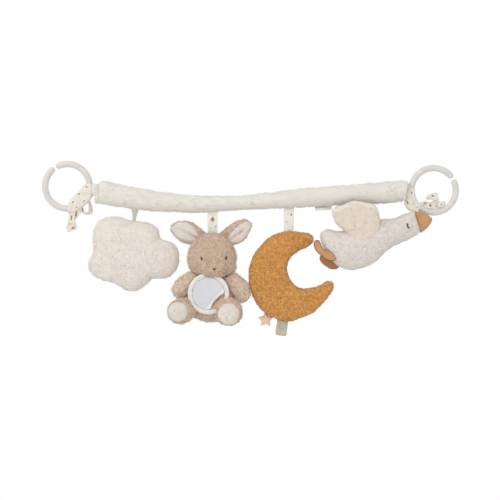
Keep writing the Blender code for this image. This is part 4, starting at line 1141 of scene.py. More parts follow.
printed("tie_right_tail_print", tail_upper, "tie_right", (
    ("diamond", (432.8, 195.8), 1.9, 1.3, 10), ("dot", (436.8, 200.0), 0.8, 0.8, 0),
))
printed("tie_right_sash_print", sash, "tie_right", (
    ("diamond", (430.6, 205.6), 1.7, 2.1, 0), ("dash", (425.2, 203.2), 0.7, 1.9, 66),
    ("dot", (436.2, 206.6), 0.8, 0.8, 0),
))
printed("tie_right_lower_print", tail_lower, "tie_right", (("dot", (441.4, 204.6), 0.8, 0.8, 0),))


# Straps

strap_cloud = looped("strap_cloud_cloth", "strap_cloud", (
    ((134.8, 209.4), 6.6), ((134.8, 212.4), 5.4), ((134.4, 216.0), 3.6), ((134.0, 220.8), 2.8),
), 11.6 * MM, "cloud_hanger")
strap_bunny = ribbon("strap_bunny_cloth", "strap_bunny", "bunny_hanger", bow=0.8 * MM, up=1.6 * MM)
strap_moon = ribbon("strap_moon_cloth", "strap_moon", "moon_hanger", bow=0.7 * MM, up=1.6 * MM)
strap_goose = ribbon("strap_goose_cloth", "strap_goose", "goose_toy")
printed("strap_bunny_print", strap_bunny, "bunny_hanger", (
    ("diamond", (212.6, 219.4), 2.5, 3.5, 0), ("dot", (215.6, 226.6), 0.9, 0.9, 0),
    ("dot", (210.6, 228.4), 0.6, 0.6, 0),
))
printed("strap_moon_print", strap_moon, "moon_hanger", (
    ("diamond", (291.4, 214.6), 1.4, 1.6, 0), ("dot", (286.6, 221.4), 0.6, 0.6, 0),
    ("dot", (292.0, 226.6), 0.5, 0.5, 0),
))


# Labels

FOLD_STEPS = 15
FOLD_SIDES = 12
FOLD_HALF = 0.8 * MM
FOLD_CORNER = 2.2 * MM
FOLD_NARROWER = 1.2 * MM
TAPE_THICKNESS = 0.3 * MM


def folded(name, source, body, material, slot, width, length, lean):
    """A tape folded in half: two layers, a round turn below with softer corners, leaning to one side."""
    low, high = (Vector(corner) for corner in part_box(source))
    turn = Matrix.Rotation(lean, 3, "Y")
    half = FOLD_HALF
    run = [(-half, length / 2 - k * (length - half) / (FOLD_STEPS - 1)) for k in range(FOLD_STEPS)]
    bend = [math.pi * k / 6 for k in range(1, 6)]
    run += [(-half * math.cos(angle), half - length / 2 - half * math.sin(angle)) for angle in bend]
    run += [(-y, z) for y, z in reversed(run[:FOLD_STEPS])]
    work = bmesh.new()
    rows = []
    for y, z in run:
        narrow = FOLD_NARROWER * max(0, 1 - (z + length / 2) / FOLD_CORNER) ** 2
        row = []
        for k in range(FOLD_SIDES + 1):
            spot = (low + high) / 2 + turn @ Vector(((width / 2 - narrow) * (k / 6 - 1), y, z))
            spot.y += RIBBON_WAVE * noise.noise(spot / (6 * MM))
            row.append(work.verts.new(spot))
        rows.append(row)
    for first, second in zip(rows, rows[1:]):
        for k in range(FOLD_SIDES):
            work.faces.new((first[k], first[k + 1], second[k + 1], second[k]))
    piece = add_object(name, smooth_shaded(mesh_of(work, name, outward=False)), material, body, slot)
    solidify = piece.modifiers.new("thin", "SOLIDIFY")
    solidify.thickness = TAPE_THICKNESS
    solidify.offset = 0
    settle_modifiers(piece)
    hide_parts(source)
    return piece


label_mesh = fine_solid("bar_label_cloth", nodes["bar_label"].data, 0.4 * MM, 2, 0)
waved(label_mesh, 6 * MM)
add_object("bar_label_cloth", smooth_shaded(label_mesh), label_cream, "bar", "label", "bar_label")
label_low = Vector(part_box("bar_label")[0])
label_z = placed((324, 207.5)).z
label_runs = []
for stitch in range(6):
    left = label_low.x + (1.2 + 3.0 * stitch) * MM
    label_runs.append([
        Vector((left + t * 2.2 * MM, label_low.y - 0.35 * MM, label_z + 0.25 * MM * (stitch + t) / 3))
        for t in (0, 0.5, 1)
    ])
threads("bar_label_stitch", label_runs, 0.3 * MM, thread_olive, "bar", "label")
sage_loop = folded(
    "moon_label_cloth", "moon_label", "moon_toy", sage_tape, "sage", 12.8 * MM, 18 * MM, math.radians(7)
)
STAR_PILE = dict(
    spacing=0.7 * MM, length=0.35 * MM, thickness=0.12 * MM, comb=(0, 0, 0), curl=0.8, seed=11, tuft=0.7
)
for star in ("moon_star_left", "moon_star_right"):
    star_mesh = fine_solid(star + "_felt", nodes[star].data, 0.5 * MM, 3)
    seam_groove(star_mesh, 0.25 * MM, 0.5 * MM, at_y=depth_of(star)[0])
    roughen(star_mesh, ((0.2 * MM, 1.5 * MM),))
    dress(star + "_felt", star_mesh, peach, "moon_toy", "star", star, padded=None, pile=STAR_PILE)


# Bunny

MIRROR_SPOT = Vector((-48.2, -17.8, -121.7)) * MM
MIRROR_REACH = 23.8 * MM
SHOULDERS = {"left": (-67.8 * MM, -4 * MM, -106.4 * MM), "right": (-22.8 * MM, -4 * MM, -106.4 * MM)}
ARM_GROWTH = {"left": (1.08, 1.0, 1.02), "right": (1.08, 1.0, 1.19)}
PAD_SHIFT = {"left": Vector((-2.4, 0, 0)) * MM, "right": Vector((0.3, 0, -2.4)) * MM}
PAD_GROWTH = 1.04
PAD_FLAT = 9 * MM
PAD_ROUND = 22 * MM
ARM_DROP = {"left": -1.0 * MM, "right": -2.6 * MM}
FUR = dict(spacing=1.1 * MM, length=3.2 * MM, thickness=0.3 * MM, curl=0.45, segments=3, tuft=0.8)
FUR_NOISE = ((0.5 * MM, 9 * MM), (0.3 * MM, 3 * MM))
VELOUR_NAP = dict(spacing=0.9 * MM, length=0.8 * MM, thickness=0.14 * MM, curl=0.6)


def away_from(centre, amount, droop=0.0):
    """Strands lie outwards from a place, and a little down."""
    middle = np.array(centre)

    def comb(roots):
        way = roots - middle
        way[:, 1] = 0
        way /= np.maximum(np.linalg.norm(way, axis=1, keepdims=True), 1e-6)
        return way * amount + np.array((0, 0, -droop))
    return comb


def outside_disc(centre, reach, front):
    """Where a disc lies on the front, no strand grows under it."""
    def keep(roots):
        away = np.hypot(roots[:, 0] - centre[0], roots[:, 2] - centre[2])
        return (away > reach) | (roots[:, 1] > front)
    return keep


EYES = {"left": (-56.0, -81.2), "right": (-27.9, -80.4)}
NOSE = (-41.4, -93.4)
EYE_BARE = (2.0, 3.3)
NOSE_BARE = (2.6, 2.6)


def face_keep(roots):
    """The stitched eyes and nose lie clear of the fur."""
    kept = np.ones(len(roots), dtype=bool)
    for x, z in (*EYES.values(), NOSE):
        wide, tall = EYE_BARE if (x, z) != NOSE else NOSE_BARE
        near = ((roots[:, 0] / MM - x) / wide) ** 2 + ((roots[:, 2] / MM - z) / tall) ** 2 < 1
        kept &= ~(near & (roots[:, 1] < 0))
    return kept


HEAD_MIDDLE = -43.8 * MM
HEAD_RIGHT_SHARE = 0.945
BODY_LIFT = 4.6 * MM
BODY_LIFT_TOP = -140 * MM
BODY_LIFT_HEIGHT = 18 * MM
CHEEK_TOP = -84 * MM
CHEEK_HEIGHT = 16 * MM
CHEEK_RIGHT = 0.24
CHEEK_LEFT = 0.08
CHIN_TOP = -85 * MM
CHIN_HEIGHT = 10 * MM
CHIN_HALF = 8.5 * MM
CHIN_EASE = 7 * MM
CHIN_FRONT = 3 * MM
CHIN_PUSH = 7.5 * MM


HEAD_PUFF = dict(pressure=2.0, cap=1.0 * MM, shrink=0.5 * MM)
head_skin = fine_solid("bunny_head_fur", nodes["bunny_head"].data, 1.7 * MM, 4, puff=HEAD_PUFF)
head_spots = points_of(head_skin)
right_half = head_spots[:, 0] > HEAD_MIDDLE
lower = eased((CHEEK_TOP - head_spots[:, 2]) / CHEEK_HEIGHT)
fuller = np.where(right_half, HEAD_RIGHT_SHARE + CHEEK_RIGHT * lower, 1 + CHEEK_LEFT * lower)
head_spots[:, 0] = HEAD_MIDDLE + (head_spots[:, 0] - HEAD_MIDDLE) * fuller
chin = eased((CHIN_TOP - head_spots[:, 2]) / CHIN_HEIGHT)
chin *= eased((CHIN_HALF + CHIN_EASE - np.abs(head_spots[:, 0] - HEAD_MIDDLE)) / CHIN_EASE)
chin *= eased(-head_spots[:, 1] / CHIN_FRONT)
head_spots[:, 1] -= CHIN_PUSH * chin
set_points(head_skin, head_spots)
roughen(head_skin, FUR_NOISE)
head_centre = (NOSE[0] * MM, 0, (NOSE[1] + 5) * MM)
head = dress(
    "bunny_head_fur", head_skin, bunny_plush_shaded, "bunny_toy", "bunny", "bunny_head",
    pile=dict(FUR, comb=away_from(head_centre, 0.7), keep=face_keep, seed=21), tips=bunny_tips,
)
body_skin = fine_solid("bunny_body_fur", nodes["bunny_body"].data, 1.8 * MM, 4)
body_spots = points_of(body_skin)
body_spots[:, 2] += BODY_LIFT * eased((BODY_LIFT_TOP - body_spots[:, 2]) / BODY_LIFT_HEIGHT)
set_points(body_skin, body_spots)
roughen(body_skin, FUR_NOISE)
behind_mirror = outside_disc(MIRROR_SPOT, MIRROR_REACH - 1 * MM, -5 * MM)
dress(
    "bunny_body_fur", body_skin, body_plush_shaded, "bunny_toy", "bunny", "bunny_body",
    pile=dict(FUR, comb=(0, 0, -0.6), keep=behind_mirror, seed=22), tips=bunny_tips,
)


def arm(side):
    """An arm, grown from its shoulder."""
    skin = fine_solid("bunny_arm_fur_" + side, nodes["bunny_arm_" + side].data, 1.2 * MM, 8)
    shoulder = np.array(SHOULDERS[side])
    set_points(skin, shoulder + (points_of(skin) - shoulder) * ARM_GROWTH[side] + (0, 0, ARM_DROP[side]))
    roughen(skin, ((0.4 * MM, 7 * MM), (0.3 * MM, 3 * MM)))
    dress(
        "bunny_arm_fur_" + side, skin, arm_plush_shaded, "bunny_arm_" + side[0], "bunny", "bunny_arm_" + side,
        pile=dict(FUR, comb=(0, 0, -0.5), seed=23), tips=arm_tips,
    )


def leg(side):
    """A leg and its foot pad, which bends round the foot's edge."""
    skin = fine_solid("bunny_leg_fur_" + side, nodes["bunny_leg_" + side].data, 1.4 * MM, 4)
    roughen(skin, ((0.4 * MM, 8 * MM), (0.3 * MM, 3 * MM)))
    low, high = (Vector(corner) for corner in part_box("bunny_pad_" + side))
    start = (low + high) / 2
    middle = start + PAD_SHIFT[side]
    bare = outside_disc(middle, (high.x - low.x) / 2 * PAD_GROWTH + 0.6 * MM, high.y)
    dress(
        "bunny_leg_fur_" + side, skin, bunny_plush_shaded, "bunny_toy", "bunny", "bunny_leg_" + side,
        pile=dict(FUR, length=2.6 * MM, comb=away_from(middle, 0.5, 0.2), seed=24, keep=bare),
        tips=bunny_tips,
    )
    pad = fine_solid("bunny_pad_velour_" + side, nodes["bunny_pad_" + side].data, 0.8 * MM, 3)
    spots = (points_of(pad) - start) * (PAD_GROWTH, 1, PAD_GROWTH) + middle
    away = np.hypot(spots[:, 0] - start.x, spots[:, 2] - start.z)
    spots[:, 1] += np.maximum(0, away - PAD_FLAT) ** 2 / PAD_ROUND
    set_points(pad, spots)
    roughen(pad, ((0.25 * MM, 5 * MM), (0.12 * MM, 1.5 * MM)))
    dress(
        "bunny_pad_velour_" + side, pad, velour, "bunny_toy", "lining", "bunny_pad_" + side,
        pile=dict(VELOUR_NAP, spacing=0.85 * MM, comb=(0, 0, -0.3), seed=25),
    )


for side in ("left", "right"):
    arm(side)
    leg(side)

EAR_SHAPES = {
    "left": (
        (207.0, 234.0), (198.4, 226.4), (192.6, 222.2), (186.0, 220.8), (177.4, 221.2), (172.3, 224.2),
        (170.2, 228.6), (172.2, 233.2), (176.4, 238.0), (182.0, 242.3), (189.4, 244.6), (197.0, 247.0),
        (205.0, 245.0), (210.0, 240.0),
    ),
    "right": (
        (218.4, 234.0), (225.8, 227.7), (235.2, 221.3), (244.4, 219.1), (250.2, 221.6), (251.8, 224.9),
        (250.8, 230.1), (247.0, 236.8), (242.0, 241.7), (235.6, 244.7), (228.0, 246.6), (220.0, 244.6),
        (215.0, 240.0),
    ),
}
EAR_OUTLINES = {
    "left": (
        (170.6, 229.2), (172.0, 224.6), (176.2, 222.0), (184.1, 221.5), (190.2, 224.0), (195.2, 229.2),
        (199.6, 236.6), (199.0, 239.6), (193.6, 241.6), (187.3, 240.9), (179.8, 238.8), (174.3, 235.0),
        (171.4, 232.2),
    ),
    "right": (
        (228.4, 241.2), (228.8, 236.2), (234.3, 229.2), (241.3, 223.7), (248.0, 221.2), (251.2, 223.8),
        (250.4, 229.8), (246.8, 236.3), (241.4, 241.2), (235.4, 243.4), (230.6, 243.4),
    ),
}
EAR_CREASES = {"left": ((179.0, 229.2), (199.4, 239.6)), "right": ((231.0, 240.0), (241.6, 231.8))}
CREASE_DEPTH = 3.2 * MM
CREASE_REACH = 1.5 * MM


def crease_share(spots, crease):
    """How near each place lies to a crease, 1 on it, deeper toward the ear's root."""
    start, finish = (np.array(placed(end))[[0, 2]] for end in crease)
    line = finish - start
    flat = spots[:, (0, 2)]
    along = np.clip(((flat - start) @ line) / (line @ line), 0, 1)
    away = np.linalg.norm(flat - start - along[:, None] * line, axis=1)
    return np.exp(-((away / CREASE_REACH) ** 2)) * (0.45 + 0.55 * along)


PATCH_POINTS = 72
PATCH_RINGS = 14
PATCH_LIFT = 0.2 * MM
PATCH_THICKNESS = 0.9 * MM
PATCH_CREASE = 1.1 * MM
PATCH_CREASE_REACH = 0.9 * MM


def patch_on(name, tree, outline, crease):
    """A fabric patch laid on a surface from the front, with its edge turned in and a crease."""
    edge = rounded_outline([placed(spot) for spot in outline], PATCH_POINTS)
    start, finish = (placed(end) for end in crease)
    middle = Vector((0, 0, 0))
    for spot in edge:
        middle += spot / PATCH_POINTS
    work = bmesh.new()
    layers = []
    for front in (1, 0):
        rows = []
        for ring in range(PATCH_RINGS):
            share = 1 - ring / PATCH_RINGS
            row = []
            for spot in edge:
                flat = middle.lerp(spot, share)
                hit = front_of(tree, flat.x, flat.z)
                depth = hit.y if hit else 0.0
                along, away = from_line(flat, start, finish)
                crease_here = PATCH_CREASE * math.exp(-(away / PATCH_CREASE_REACH) ** 2) * (0.3 + 0.7 * along)
                swell = PATCH_LIFT + PATCH_THICKNESS * front * (1 - share ** 8) - crease_here * front
                row.append(work.verts.new((flat.x, depth - swell + PATCH_THICKNESS * (1 - front), flat.z)))
            rows.append(row)
        tip = work.verts.new(sum((vert.co for vert in rows[-1]), Vector((0, 0, 0))) / PATCH_POINTS)
        layers.append((rows, tip))
    for rows, tip in layers:
        join_rows(work, rows)
        close_ring(work, rows[-1], tip)
    join_rows(work, [rows[0] for rows, tip in layers])
    return mesh_of(work, name)


def clear_of(crease):
    """No strand stands in a crease."""
    def keep(roots):
        return crease_share(roots, crease) < 0.25
    return keep


def front_keep(outline):
    """No strand grows where a patch lies in front."""
    edge = np.array([tuple(placed(spot)) for spot in outline])[:, (0, 2)]

    def keep(roots):
        inside = inside_outline(edge, roots[:, 0], roots[:, 2])
        return ~(inside & (roots[:, 1] < 5.5 * MM))
    return keep


def make_ear(side):
    """An ear with a crease down its front, and the lining on it."""
    name = "bunny_ear_" + side
    body = "bunny_ear_" + side[0]
    sign = -1 if side == "left" else 1
    crease = EAR_CREASES[side]
    middle, half = depth_of(name)
    panels = stuffed(name, EAR_SHAPES[side], middle, 0.6, half, fine=1.2 * MM, count=100)
    skin = fine_solid(name + "_fur", panels, 0.9 * MM, 3)
    roughen(skin, ((0.4 * MM, 8 * MM), (0.2 * MM, 3 * MM)))
    spots = points_of(skin)
    spots[:, 1] += CREASE_DEPTH * eased((middle - spots[:, 1]) / (2 * MM)) * crease_share(spots, crease)
    set_points(skin, spots)
    bare = front_keep(EAR_OUTLINES[side])
    ear = dress(
        name + "_fur", skin, bunny_plush_shaded, body, "bunny", name,
        pile=dict(FUR, length=1.9 * MM, comb=(sign * 0.6, 0, -0.1), keep=bare, seed=26), tips=bunny_tips,
    )
    lining_name = "bunny_ear_lining_" + side
    lining = patch_on(lining_name + "_velour", surface_of(ear.data), EAR_OUTLINES[side], crease)
    dress(
        lining_name + "_velour", lining, velour, body, "lining", lining_name, padded=None,
        pile=dict(VELOUR_NAP, comb=(sign * 0.4, 0, 0), seed=27, keep=clear_of(crease)),
    )


make_ear("left")
make_ear("right")
head_tree = surface_of(head.data)
SATIN_ROWS = 7
SATIN_HEIGHT = 2.1


def satin(side, half_wide, lean):
    """An eye: a satin-stitched almond of short threads laid side by side."""
    x, z = EYES[side]
    runs = []
    for row in range(SATIN_ROWS):
        share = (row + 0.5) / SATIN_ROWS * 2 - 1
        wide = half_wide * math.sqrt(max(0.05, 1 - share * share))
        up = z + SATIN_HEIGHT * share
        centre = x + lean * share
        run = []
        for t in (-1, -0.5, 0, 0.5, 1):
            spot = front_of(head_tree, (centre + wide * t) * MM, (up + 0.25 * wide * t) * MM)
            run.append(spot + Vector((0, -0.25 * (1 - t * t) - 0.25, 0)) * MM)
        runs.append(run)
    name = "bunny_eye_" + side
    threads(name + "_thread", runs, 0.42 * MM, thread_dark, "bunny_toy", "stitch", name)


satin("left", 1.05, -0.35)
satin("right", 1.0, 0.2)
NOSE_STITCHES = (
    ((-1.9, 1.2), (0.1, -0.3)), ((-1.5, 1.5), (0.3, 0.1)), ((2.0, 1.3), (-0.1, -0.3)),
    ((1.6, 1.6), (-0.2, 0.1)), ((0.0, 0.2), (0.05, -2.1)),
)
nose_runs = []
for first, last in NOSE_STITCHES:
    run = []
    for t in (0, 0.33, 0.67, 1):
        across = first[0] + (last[0] - first[0]) * t
        rise = first[1] + (last[1] - first[1]) * t
        spot = front_of(head_tree, (NOSE[0] + across) * MM, (NOSE[1] + rise) * MM)
        run.append(spot + Vector((0, -0.45, 0)) * MM)
    nose_runs.append(run)
threads("bunny_nose_thread", nose_runs, 0.36 * MM, thread_dark, "bunny_toy", "stitch", "bunny_nose")


# Mirror

ROUND_STEPS = 96
RIM_WIDE = 5.2 * MM
RIM_REACH = 21.2 * MM
RIM_SIDES = 16


def round_way(step):
    turn = math.tau * step / ROUND_STEPS
    return turn, Vector((math.cos(turn), 0, math.sin(turn)))


def rim_mesh_of(name):
    """The mirror's padded rim, which thins toward its inner edge."""
    low, high = (Vector(corner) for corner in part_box("bunny_mirror_rim"))
    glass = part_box("bunny_mirror_glass")
    centre = Vector((MIRROR_SPOT.x, (low.y + high.y) / 2, (glass[0][2] + glass[1][2]) / 2))
    profile = []
    for k in range(RIM_SIDES):
        turn = math.tau * k / RIM_SIDES
        thinner = 0.62 + 0.38 * math.cos(turn)
        depth = (high.y - low.y) / 2 * math.sin(turn) * thinner
        profile.append((RIM_REACH + RIM_WIDE / 2 * math.cos(turn), depth))
    work = bmesh.new()
    rows = []
    for step in range(ROUND_STEPS):
        turn, out = round_way(step)
        spots = [centre + out * reach + Vector((0, depth, 0)) for reach, depth in profile]
        rows.append([work.verts.new(spot) for spot in spots])
    join_rows(work, rows, closed=True)
    return mesh_of(work, name)


rim_mesh = rim_mesh_of("bunny_mirror_rim_velour")
roughen(rim_mesh, ((0.3 * MM, 6 * MM), (0.12 * MM, 1.6 * MM)))
dress(
    "bunny_mirror_rim_velour", rim_mesh, rim_velour, "bunny_toy", "lining", "bunny_mirror_rim", padded=None,
    pile=dict(VELOUR_NAP, spacing=0.95 * MM, length=0.6 * MM, thickness=0.13 * MM, comb=(0, 0, 0), seed=28),
)
FOIL_DIP = 4.2 * MM
FOIL_DIP_START = 0.22
FOIL_DIP_TURN = math.radians(-40)
FOIL_SHARES = (*(k / 24 for k in range(1, 24)), 0.975, 0.992, 1.0)


def foil_mesh(name):
    """The mirror: a foil laid over a soft disc, flat but for a dip toward its lower right edge."""
    low, high = (Vector(corner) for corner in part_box("bunny_mirror_glass"))
    middle = (low + high) / 2
    whole = (high.x - low.x) / 2
    half = (high.y - low.y) / 2
    work = bmesh.new()
    rows = []
    for share in FOIL_SHARES:
        row = []
        for step in range(ROUND_STEPS):
            turn, out = round_way(step)
            toward = share * math.cos(turn - FOIL_DIP_TURN)
            dip = FOIL_DIP * max(0, (toward - FOIL_DIP_START) / (1 - FOIL_DIP_START)) ** 2
            row.append(work.verts.new(middle + out * whole * share + Vector((0, dip - half, 0))))
        rows.append(row)
    rows.append([
        work.verts.new((vert.co.x, max(middle.y + half, vert.co.y + 0.4 * MM), vert.co.z))
        for vert in rows[-1]
    ])
    front = work.verts.new(middle + Vector((0, -half, 0)))
    back = work.verts.new(middle + Vector((0, half, 0)))
    join_rows(work, rows)
    close_ring(work, rows[0], front)
    close_ring(work, rows[-1], back)
    return mesh_of(work, name)


foil = smooth_shaded(foil_mesh("bunny_mirror_foil"))
add_object("bunny_mirror_foil", foil, mirror_gloss, "bunny_toy", "mirror", "bunny_mirror_glass")


# Goose

goose_middle = depth_of("goose_body")[0]
GOOSE_OUTLINE = (
    (327.7, 228.4), (333.9, 230.4), (341.0, 230.6), (352.0, 229.0), (364.0, 224.5), (374.0, 220.5),
    (382.1, 219.0), (389.3, 218.6), (396.0, 218.0), (401.8, 214.6), (408.9, 211.9), (414.8, 211.2),
    (417.4, 220.0), (420.0, 232.4), (411.6, 238.2), (400.9, 242.9), (391.0, 247.5), (383.9, 253.6),
    (375.9, 261.6), (367.0, 266.5), (354.9, 269.8), (344.6, 268.8), (336.6, 265.4), (329.5, 258.0),
    (325.0, 250.5), (322.0, 245.0), (319.9, 238.8), (319.8, 234.6), (322.3, 230.8),
)
goose_panels = stuffed("goose", GOOSE_OUTLINE, goose_middle, fullness=0.92, cap=26 * MM)
goose_skin = fine_solid("goose_velour", goose_panels, 1.7 * MM, 3)
seam_groove(goose_skin, 0.4 * MM, 0.9 * MM, at_y=goose_middle)
roughen(goose_skin, ((0.6 * MM, 16 * MM), (0.12 * MM, 3.5 * MM)))
GOOSE_PILE = dict(
    spacing=1.3 * MM, length=1.5 * MM, thickness=0.18 * MM, comb=(-0.5, 0, -0.1), curl=0.6, seed=31
)
dress("goose_velour", goose_skin, goose_plush, "goose_toy", "goose", "goose_body", pile=GOOSE_PILE)
goose_tree = surface_of(goose_skin)
WING_OUTLINE = (
    (332.0, 211.8), (333.8, 208.6), (337.2, 206.2), (342.6, 204.6), (348.6, 202.3), (354.6, 200.3),
    (360.2, 201.1), (366.0, 202.6), (372.0, 204.0), (375.8, 206.2), (378.2, 211.0), (379.6, 216.0),
    (380.4, 221.4), (380.2, 228.0), (377.6, 234.2), (371.4, 238.8), (362.8, 241.0), (354.6, 239.6),
    (348.6, 234.8), (342.8, 229.9), (337.8, 225.4), (334.9, 221.3), (332.7, 216.0),
)
WING_TOP = np.array([tuple(placed(spot)) for spot in WING_OUTLINE[:11]])
WING_BAND = 4.4 * MM


def in_wing_band(spots):
    """Which places lie in the pale band along the wing's upper edge, whose whiter colour is partly painted
    light against the shade on that rounded edge.
    """
    away = np.full(len(spots), 1.0)
    for first, second in zip(WING_TOP, WING_TOP[1:]):
        line = second - first
        share = np.clip(((spots - first)[:, (0, 2)] @ line[[0, 2]]) / (line[0] ** 2 + line[2] ** 2), 0, 1)
        foot = first + share[:, None] * line
        away = np.minimum(away, np.hypot(spots[:, 0] - foot[:, 0], spots[:, 2] - foot[:, 2]))
    return away < WING_BAND + 1.2 * MM * noise_at(spots, 5 * MM)


def below_wing_band(spots):
    return ~in_wing_band(spots)


WING_EDGE_PILE = dict(
    spacing=1.2 * MM, length=1.7 * MM, thickness=0.17 * MM, comb=(0, 0, 0.6), curl=0.6, seed=33,
    keep=in_wing_band,
)
WING_TAPER = 16 * MM


def make_wing(side):
    """A wing whose lower end thins toward the body, with a pale band along its top: the fringe's own whiter
    colour, painted lighter still against the shade on the rounded top edge.
    """
    name = "goose_wing_" + side
    body = "goose_wing_" + side[0]
    middle, half = depth_of(name)
    skin = fine_solid(name + "_fleece", stuffed(name, WING_OUTLINE, middle, 0.7, half), 1.3 * MM, 3)
    spots = points_of(skin)
    toward = 1 if side == "front" else -1
    inner = np.zeros(len(spots))
    for k, (x, y, z) in enumerate(spots):
        start = Vector((x, goose_middle - toward * 80 * MM, z))
        hit = goose_tree.ray_cast(start, Vector((0, toward, 0)))[0]
        inner[k] = hit.y - toward * 0.4 * MM if hit else y
    thin = 0.3 + 0.7 * eased((spots[:, 2] - spots[:, 2].min()) / WING_TAPER)
    spots[:, 1] = inner + (spots[:, 1] - inner) * thin
    set_points(skin, spots)
    roughen(skin, ((0.6 * MM, 12 * MM), (0.12 * MM, 3 * MM)))
    dress(
        name + "_fleece", skin, wing_plush, body, "wing", name,
        pile=dict(FLEECE_PILE, comb=(0, 0, 0.9), seed=32, keep=below_wing_band),
    )
    # The top band takes the pale cloth: painted light on the rounded top edge, over the fringe's own paler
    # colour.
    skin.materials.append(fringe)
    centres = np.array([tuple(face.center) for face in skin.polygons])
    skin.polygons.foreach_set("material_index", in_wing_band(centres).astype(np.int32))
    add_object(name + "_edge", pile_mesh(name + "_edge", skin, **WING_EDGE_PILE), fringe, body, "wing")


make_wing("front")
make_wing("back")


def suede_piece(source, outline, fullness, cap, voxel, material, slot, follow=None):
    """A beak or a foot of suede, filled a little."""
    panels = stuffed(source, outline, depth_of(source)[0], fullness, cap, fine=voxel, count=90, follow=follow)
    mesh = fine_solid(source + "_suede", panels, voxel * 0.8, 2)
    roughen(mesh, ((0.3 * MM, 6 * MM), (0.06 * MM, 1.2 * MM)))
    return dress(source + "_suede", mesh, material, "goose_toy", slot, source, padded=0.6)


BEAK_OUTLINE = (
    (414.0, 211.0), (418.0, 210.9), (421.5, 211.6), (425.0, 213.4), (429.0, 215.6), (431.6, 218.0),
    (431.8, 219.8), (430.2, 223.5), (427.5, 227.0), (424.0, 230.2), (420.2, 232.6), (418.4, 227.0),
    (416.6, 219.5), (415.0, 214.0),
)
FOOT_FRONT_OUTLINE = (
    (317.2, 240.2), (319.4, 241.5), (321.4, 246.0), (324.3, 249.6), (327.7, 250.2), (330.0, 251.6),
    (333.9, 255.6), (335.5, 258.5), (334.2, 260.6), (329.5, 260.6), (326.0, 259.2), (322.3, 256.3),
    (318.8, 253.4), (315.6, 249.6), (314.1, 245.1), (314.5, 242.0),
)
FOOT_BACK_OUTLINE = (
    (321.2, 255.6), (325.0, 256.4), (329.6, 259.0), (334.5, 262.0), (338.4, 266.4), (337.1, 268.3),
    (333.0, 269.0), (329.9, 268.4), (326.6, 266.3), (323.2, 263.9), (320.5, 260.7), (319.9, 257.6),
)


def foot_on_body(x, z):
    """The front foot lies on the body's front where the body is behind it."""
    nearest = depth_of("goose_foot_front")[0]
    for dx, dz in ((0, 0), (1.5, 0), (-1.5, 0), (0, 1.5), (0, -1.5)):
        hit = front_of(goose_tree, x + dx * MM, z + dz * MM)
        if hit is not None:
            nearest = min(nearest, hit.y - 1.3 * MM)
    return nearest


beak = suede_piece("goose_beak", BEAK_OUTLINE, 0.85, 7 * MM, 0.9 * MM, suede_tan, "suede")
foot_front = suede_piece(
    "goose_foot_front", FOOT_FRONT_OUTLINE, 0.6, 1.5 * MM, 0.7 * MM, suede_tan, "suede", follow=foot_on_body
)
foot_back = suede_piece(
    "goose_foot_back", FOOT_BACK_OUTLINE, 0.6, 1.5 * MM, 0.7 * MM, suede_brown, "suede_dark"
)


def stitch_line(name, piece, outline, length, gap, radius):
    """A row of separate stitches along a line on a piece's front."""
    tree = surface_of(piece.data)
    line = [placed(spot, -17 * MM) for spot in outline]
    total = sum((b - a).length for a, b in zip(line, line[1:]))

    def along(distance):
        for a, b in zip(line, line[1:]):
            step = (b - a).length
            if distance <= step:
                return a.lerp(b, distance / step)
            distance -= step
        return line[-1]
    runs = []
    place = 0.0
    while place + length < total:
        run = []
        for t in (0, 0.5, 1):
            flat = along(place + length * t)
            spot = front_of(tree, flat.x, flat.z)
            if spot is not None:
                run.append(spot + Vector((0, -0.5 * radius - radius * (1 - (2 * t - 1) ** 2), 0)))
        if len(run) == 3:
            runs.append(run)
        place += length + gap
    threads(name, runs, radius, thread_tan, "goose_toy", "suede")


stitch_line("goose_beak_stitch", beak, (
    (415.9, 212.2), (421.0, 212.3), (427.2, 214.8), (430.2, 218.8), (429.0, 222.6), (425.4, 226.8),
    (421.2, 229.8),
), 1.5 * MM, 0.7 * MM, 0.2 * MM)
stitch_line("goose_foot_front_stitch", foot_front, (
    (318.0, 242.0), (316.4, 244.4), (318.4, 249.0), (322.0, 254.0), (326.6, 257.4), (332.0, 258.8),
    (333.6, 257.6),
), 1.3 * MM, 0.6 * MM, 0.16 * MM)


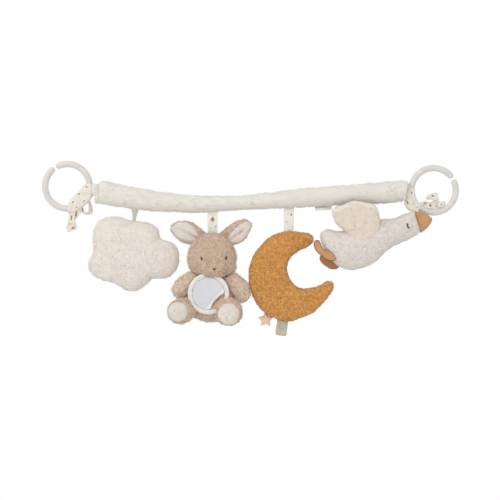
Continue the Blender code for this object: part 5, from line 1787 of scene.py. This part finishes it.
def edge_thread(name, piece, outline, radius, closed=True):
    """A dark brown thread along a suede piece's edge, at half its depth, which darkens that edge."""
    spots = points_of(piece.data)
    middle = (spots[:, 1].min() + spots[:, 1].max()) / 2
    corners = [placed(spot, middle) for spot in outline]
    line = rounded_outline(corners, 72) if closed else smooth_line(corners, 40)
    run = [Vector((spot.x, middle, spot.z)) for spot in line]
    threads(name, [run], radius, edge_brown, "goose_toy", "suede_dark", closed=closed)


edge_thread("goose_beak_edge", beak, BEAK_OUTLINE[5:11], 0.45 * MM, closed=False)
edge_thread("goose_foot_front_edge", foot_front, FOOT_FRONT_OUTLINE, 0.42 * MM)
edge_thread("goose_foot_back_edge", foot_back, FOOT_BACK_OUTLINE, 0.42 * MM)
GOOSE_EYE = ((406.2, 223.7), (407.6, 224.3), (407.4, 225.6), (407.2, 226.6), (408.7, 227.2), (408.5, 228.6))
eye_runs = []
for shift in (-0.45, 0.0, 0.45):
    run = []
    for pixel in GOOSE_EYE:
        flat = placed(pixel, -18 * MM)
        spot = front_of(goose_tree, flat.x + shift * MM, flat.z + shift * 0.4 * MM)
        run.append(spot + Vector((0, -0.5, 0)) * MM)
    eye_runs.append(run)
back_runs = [[Vector((x, 2 * goose_middle - y, z)) for x, y, z in run] for run in eye_runs]
for eye_side, runs in (("front", eye_runs), ("back", back_runs)):
    eye_name = "goose_eye_" + eye_side
    threads(eye_name + "_thread", runs, 0.36 * MM, thread_grey, "goose_toy", "stitch", eye_name)


# Floor

FLOOR_HEIGHT = -0.56
floor_mesh = bpy.data.meshes.new("floor")
floor_corners = [(x, y, FLOOR_HEIGHT) for x, y in ((-2, -3), (2, -3), (2, 1), (-2, 1))]
floor_mesh.from_pydata(floor_corners, [], [(0, 1, 2, 3)])
floor = bpy.data.objects.new("floor", floor_mesh)
scene.collection.objects.link(floor)
floor_pale, floor_shader = new_material("floor_pale", 0.9)
floor_shader.inputs["Base Color"].default_value = linear((240, 240, 238))
floor_mesh.materials.append(floor_pale)
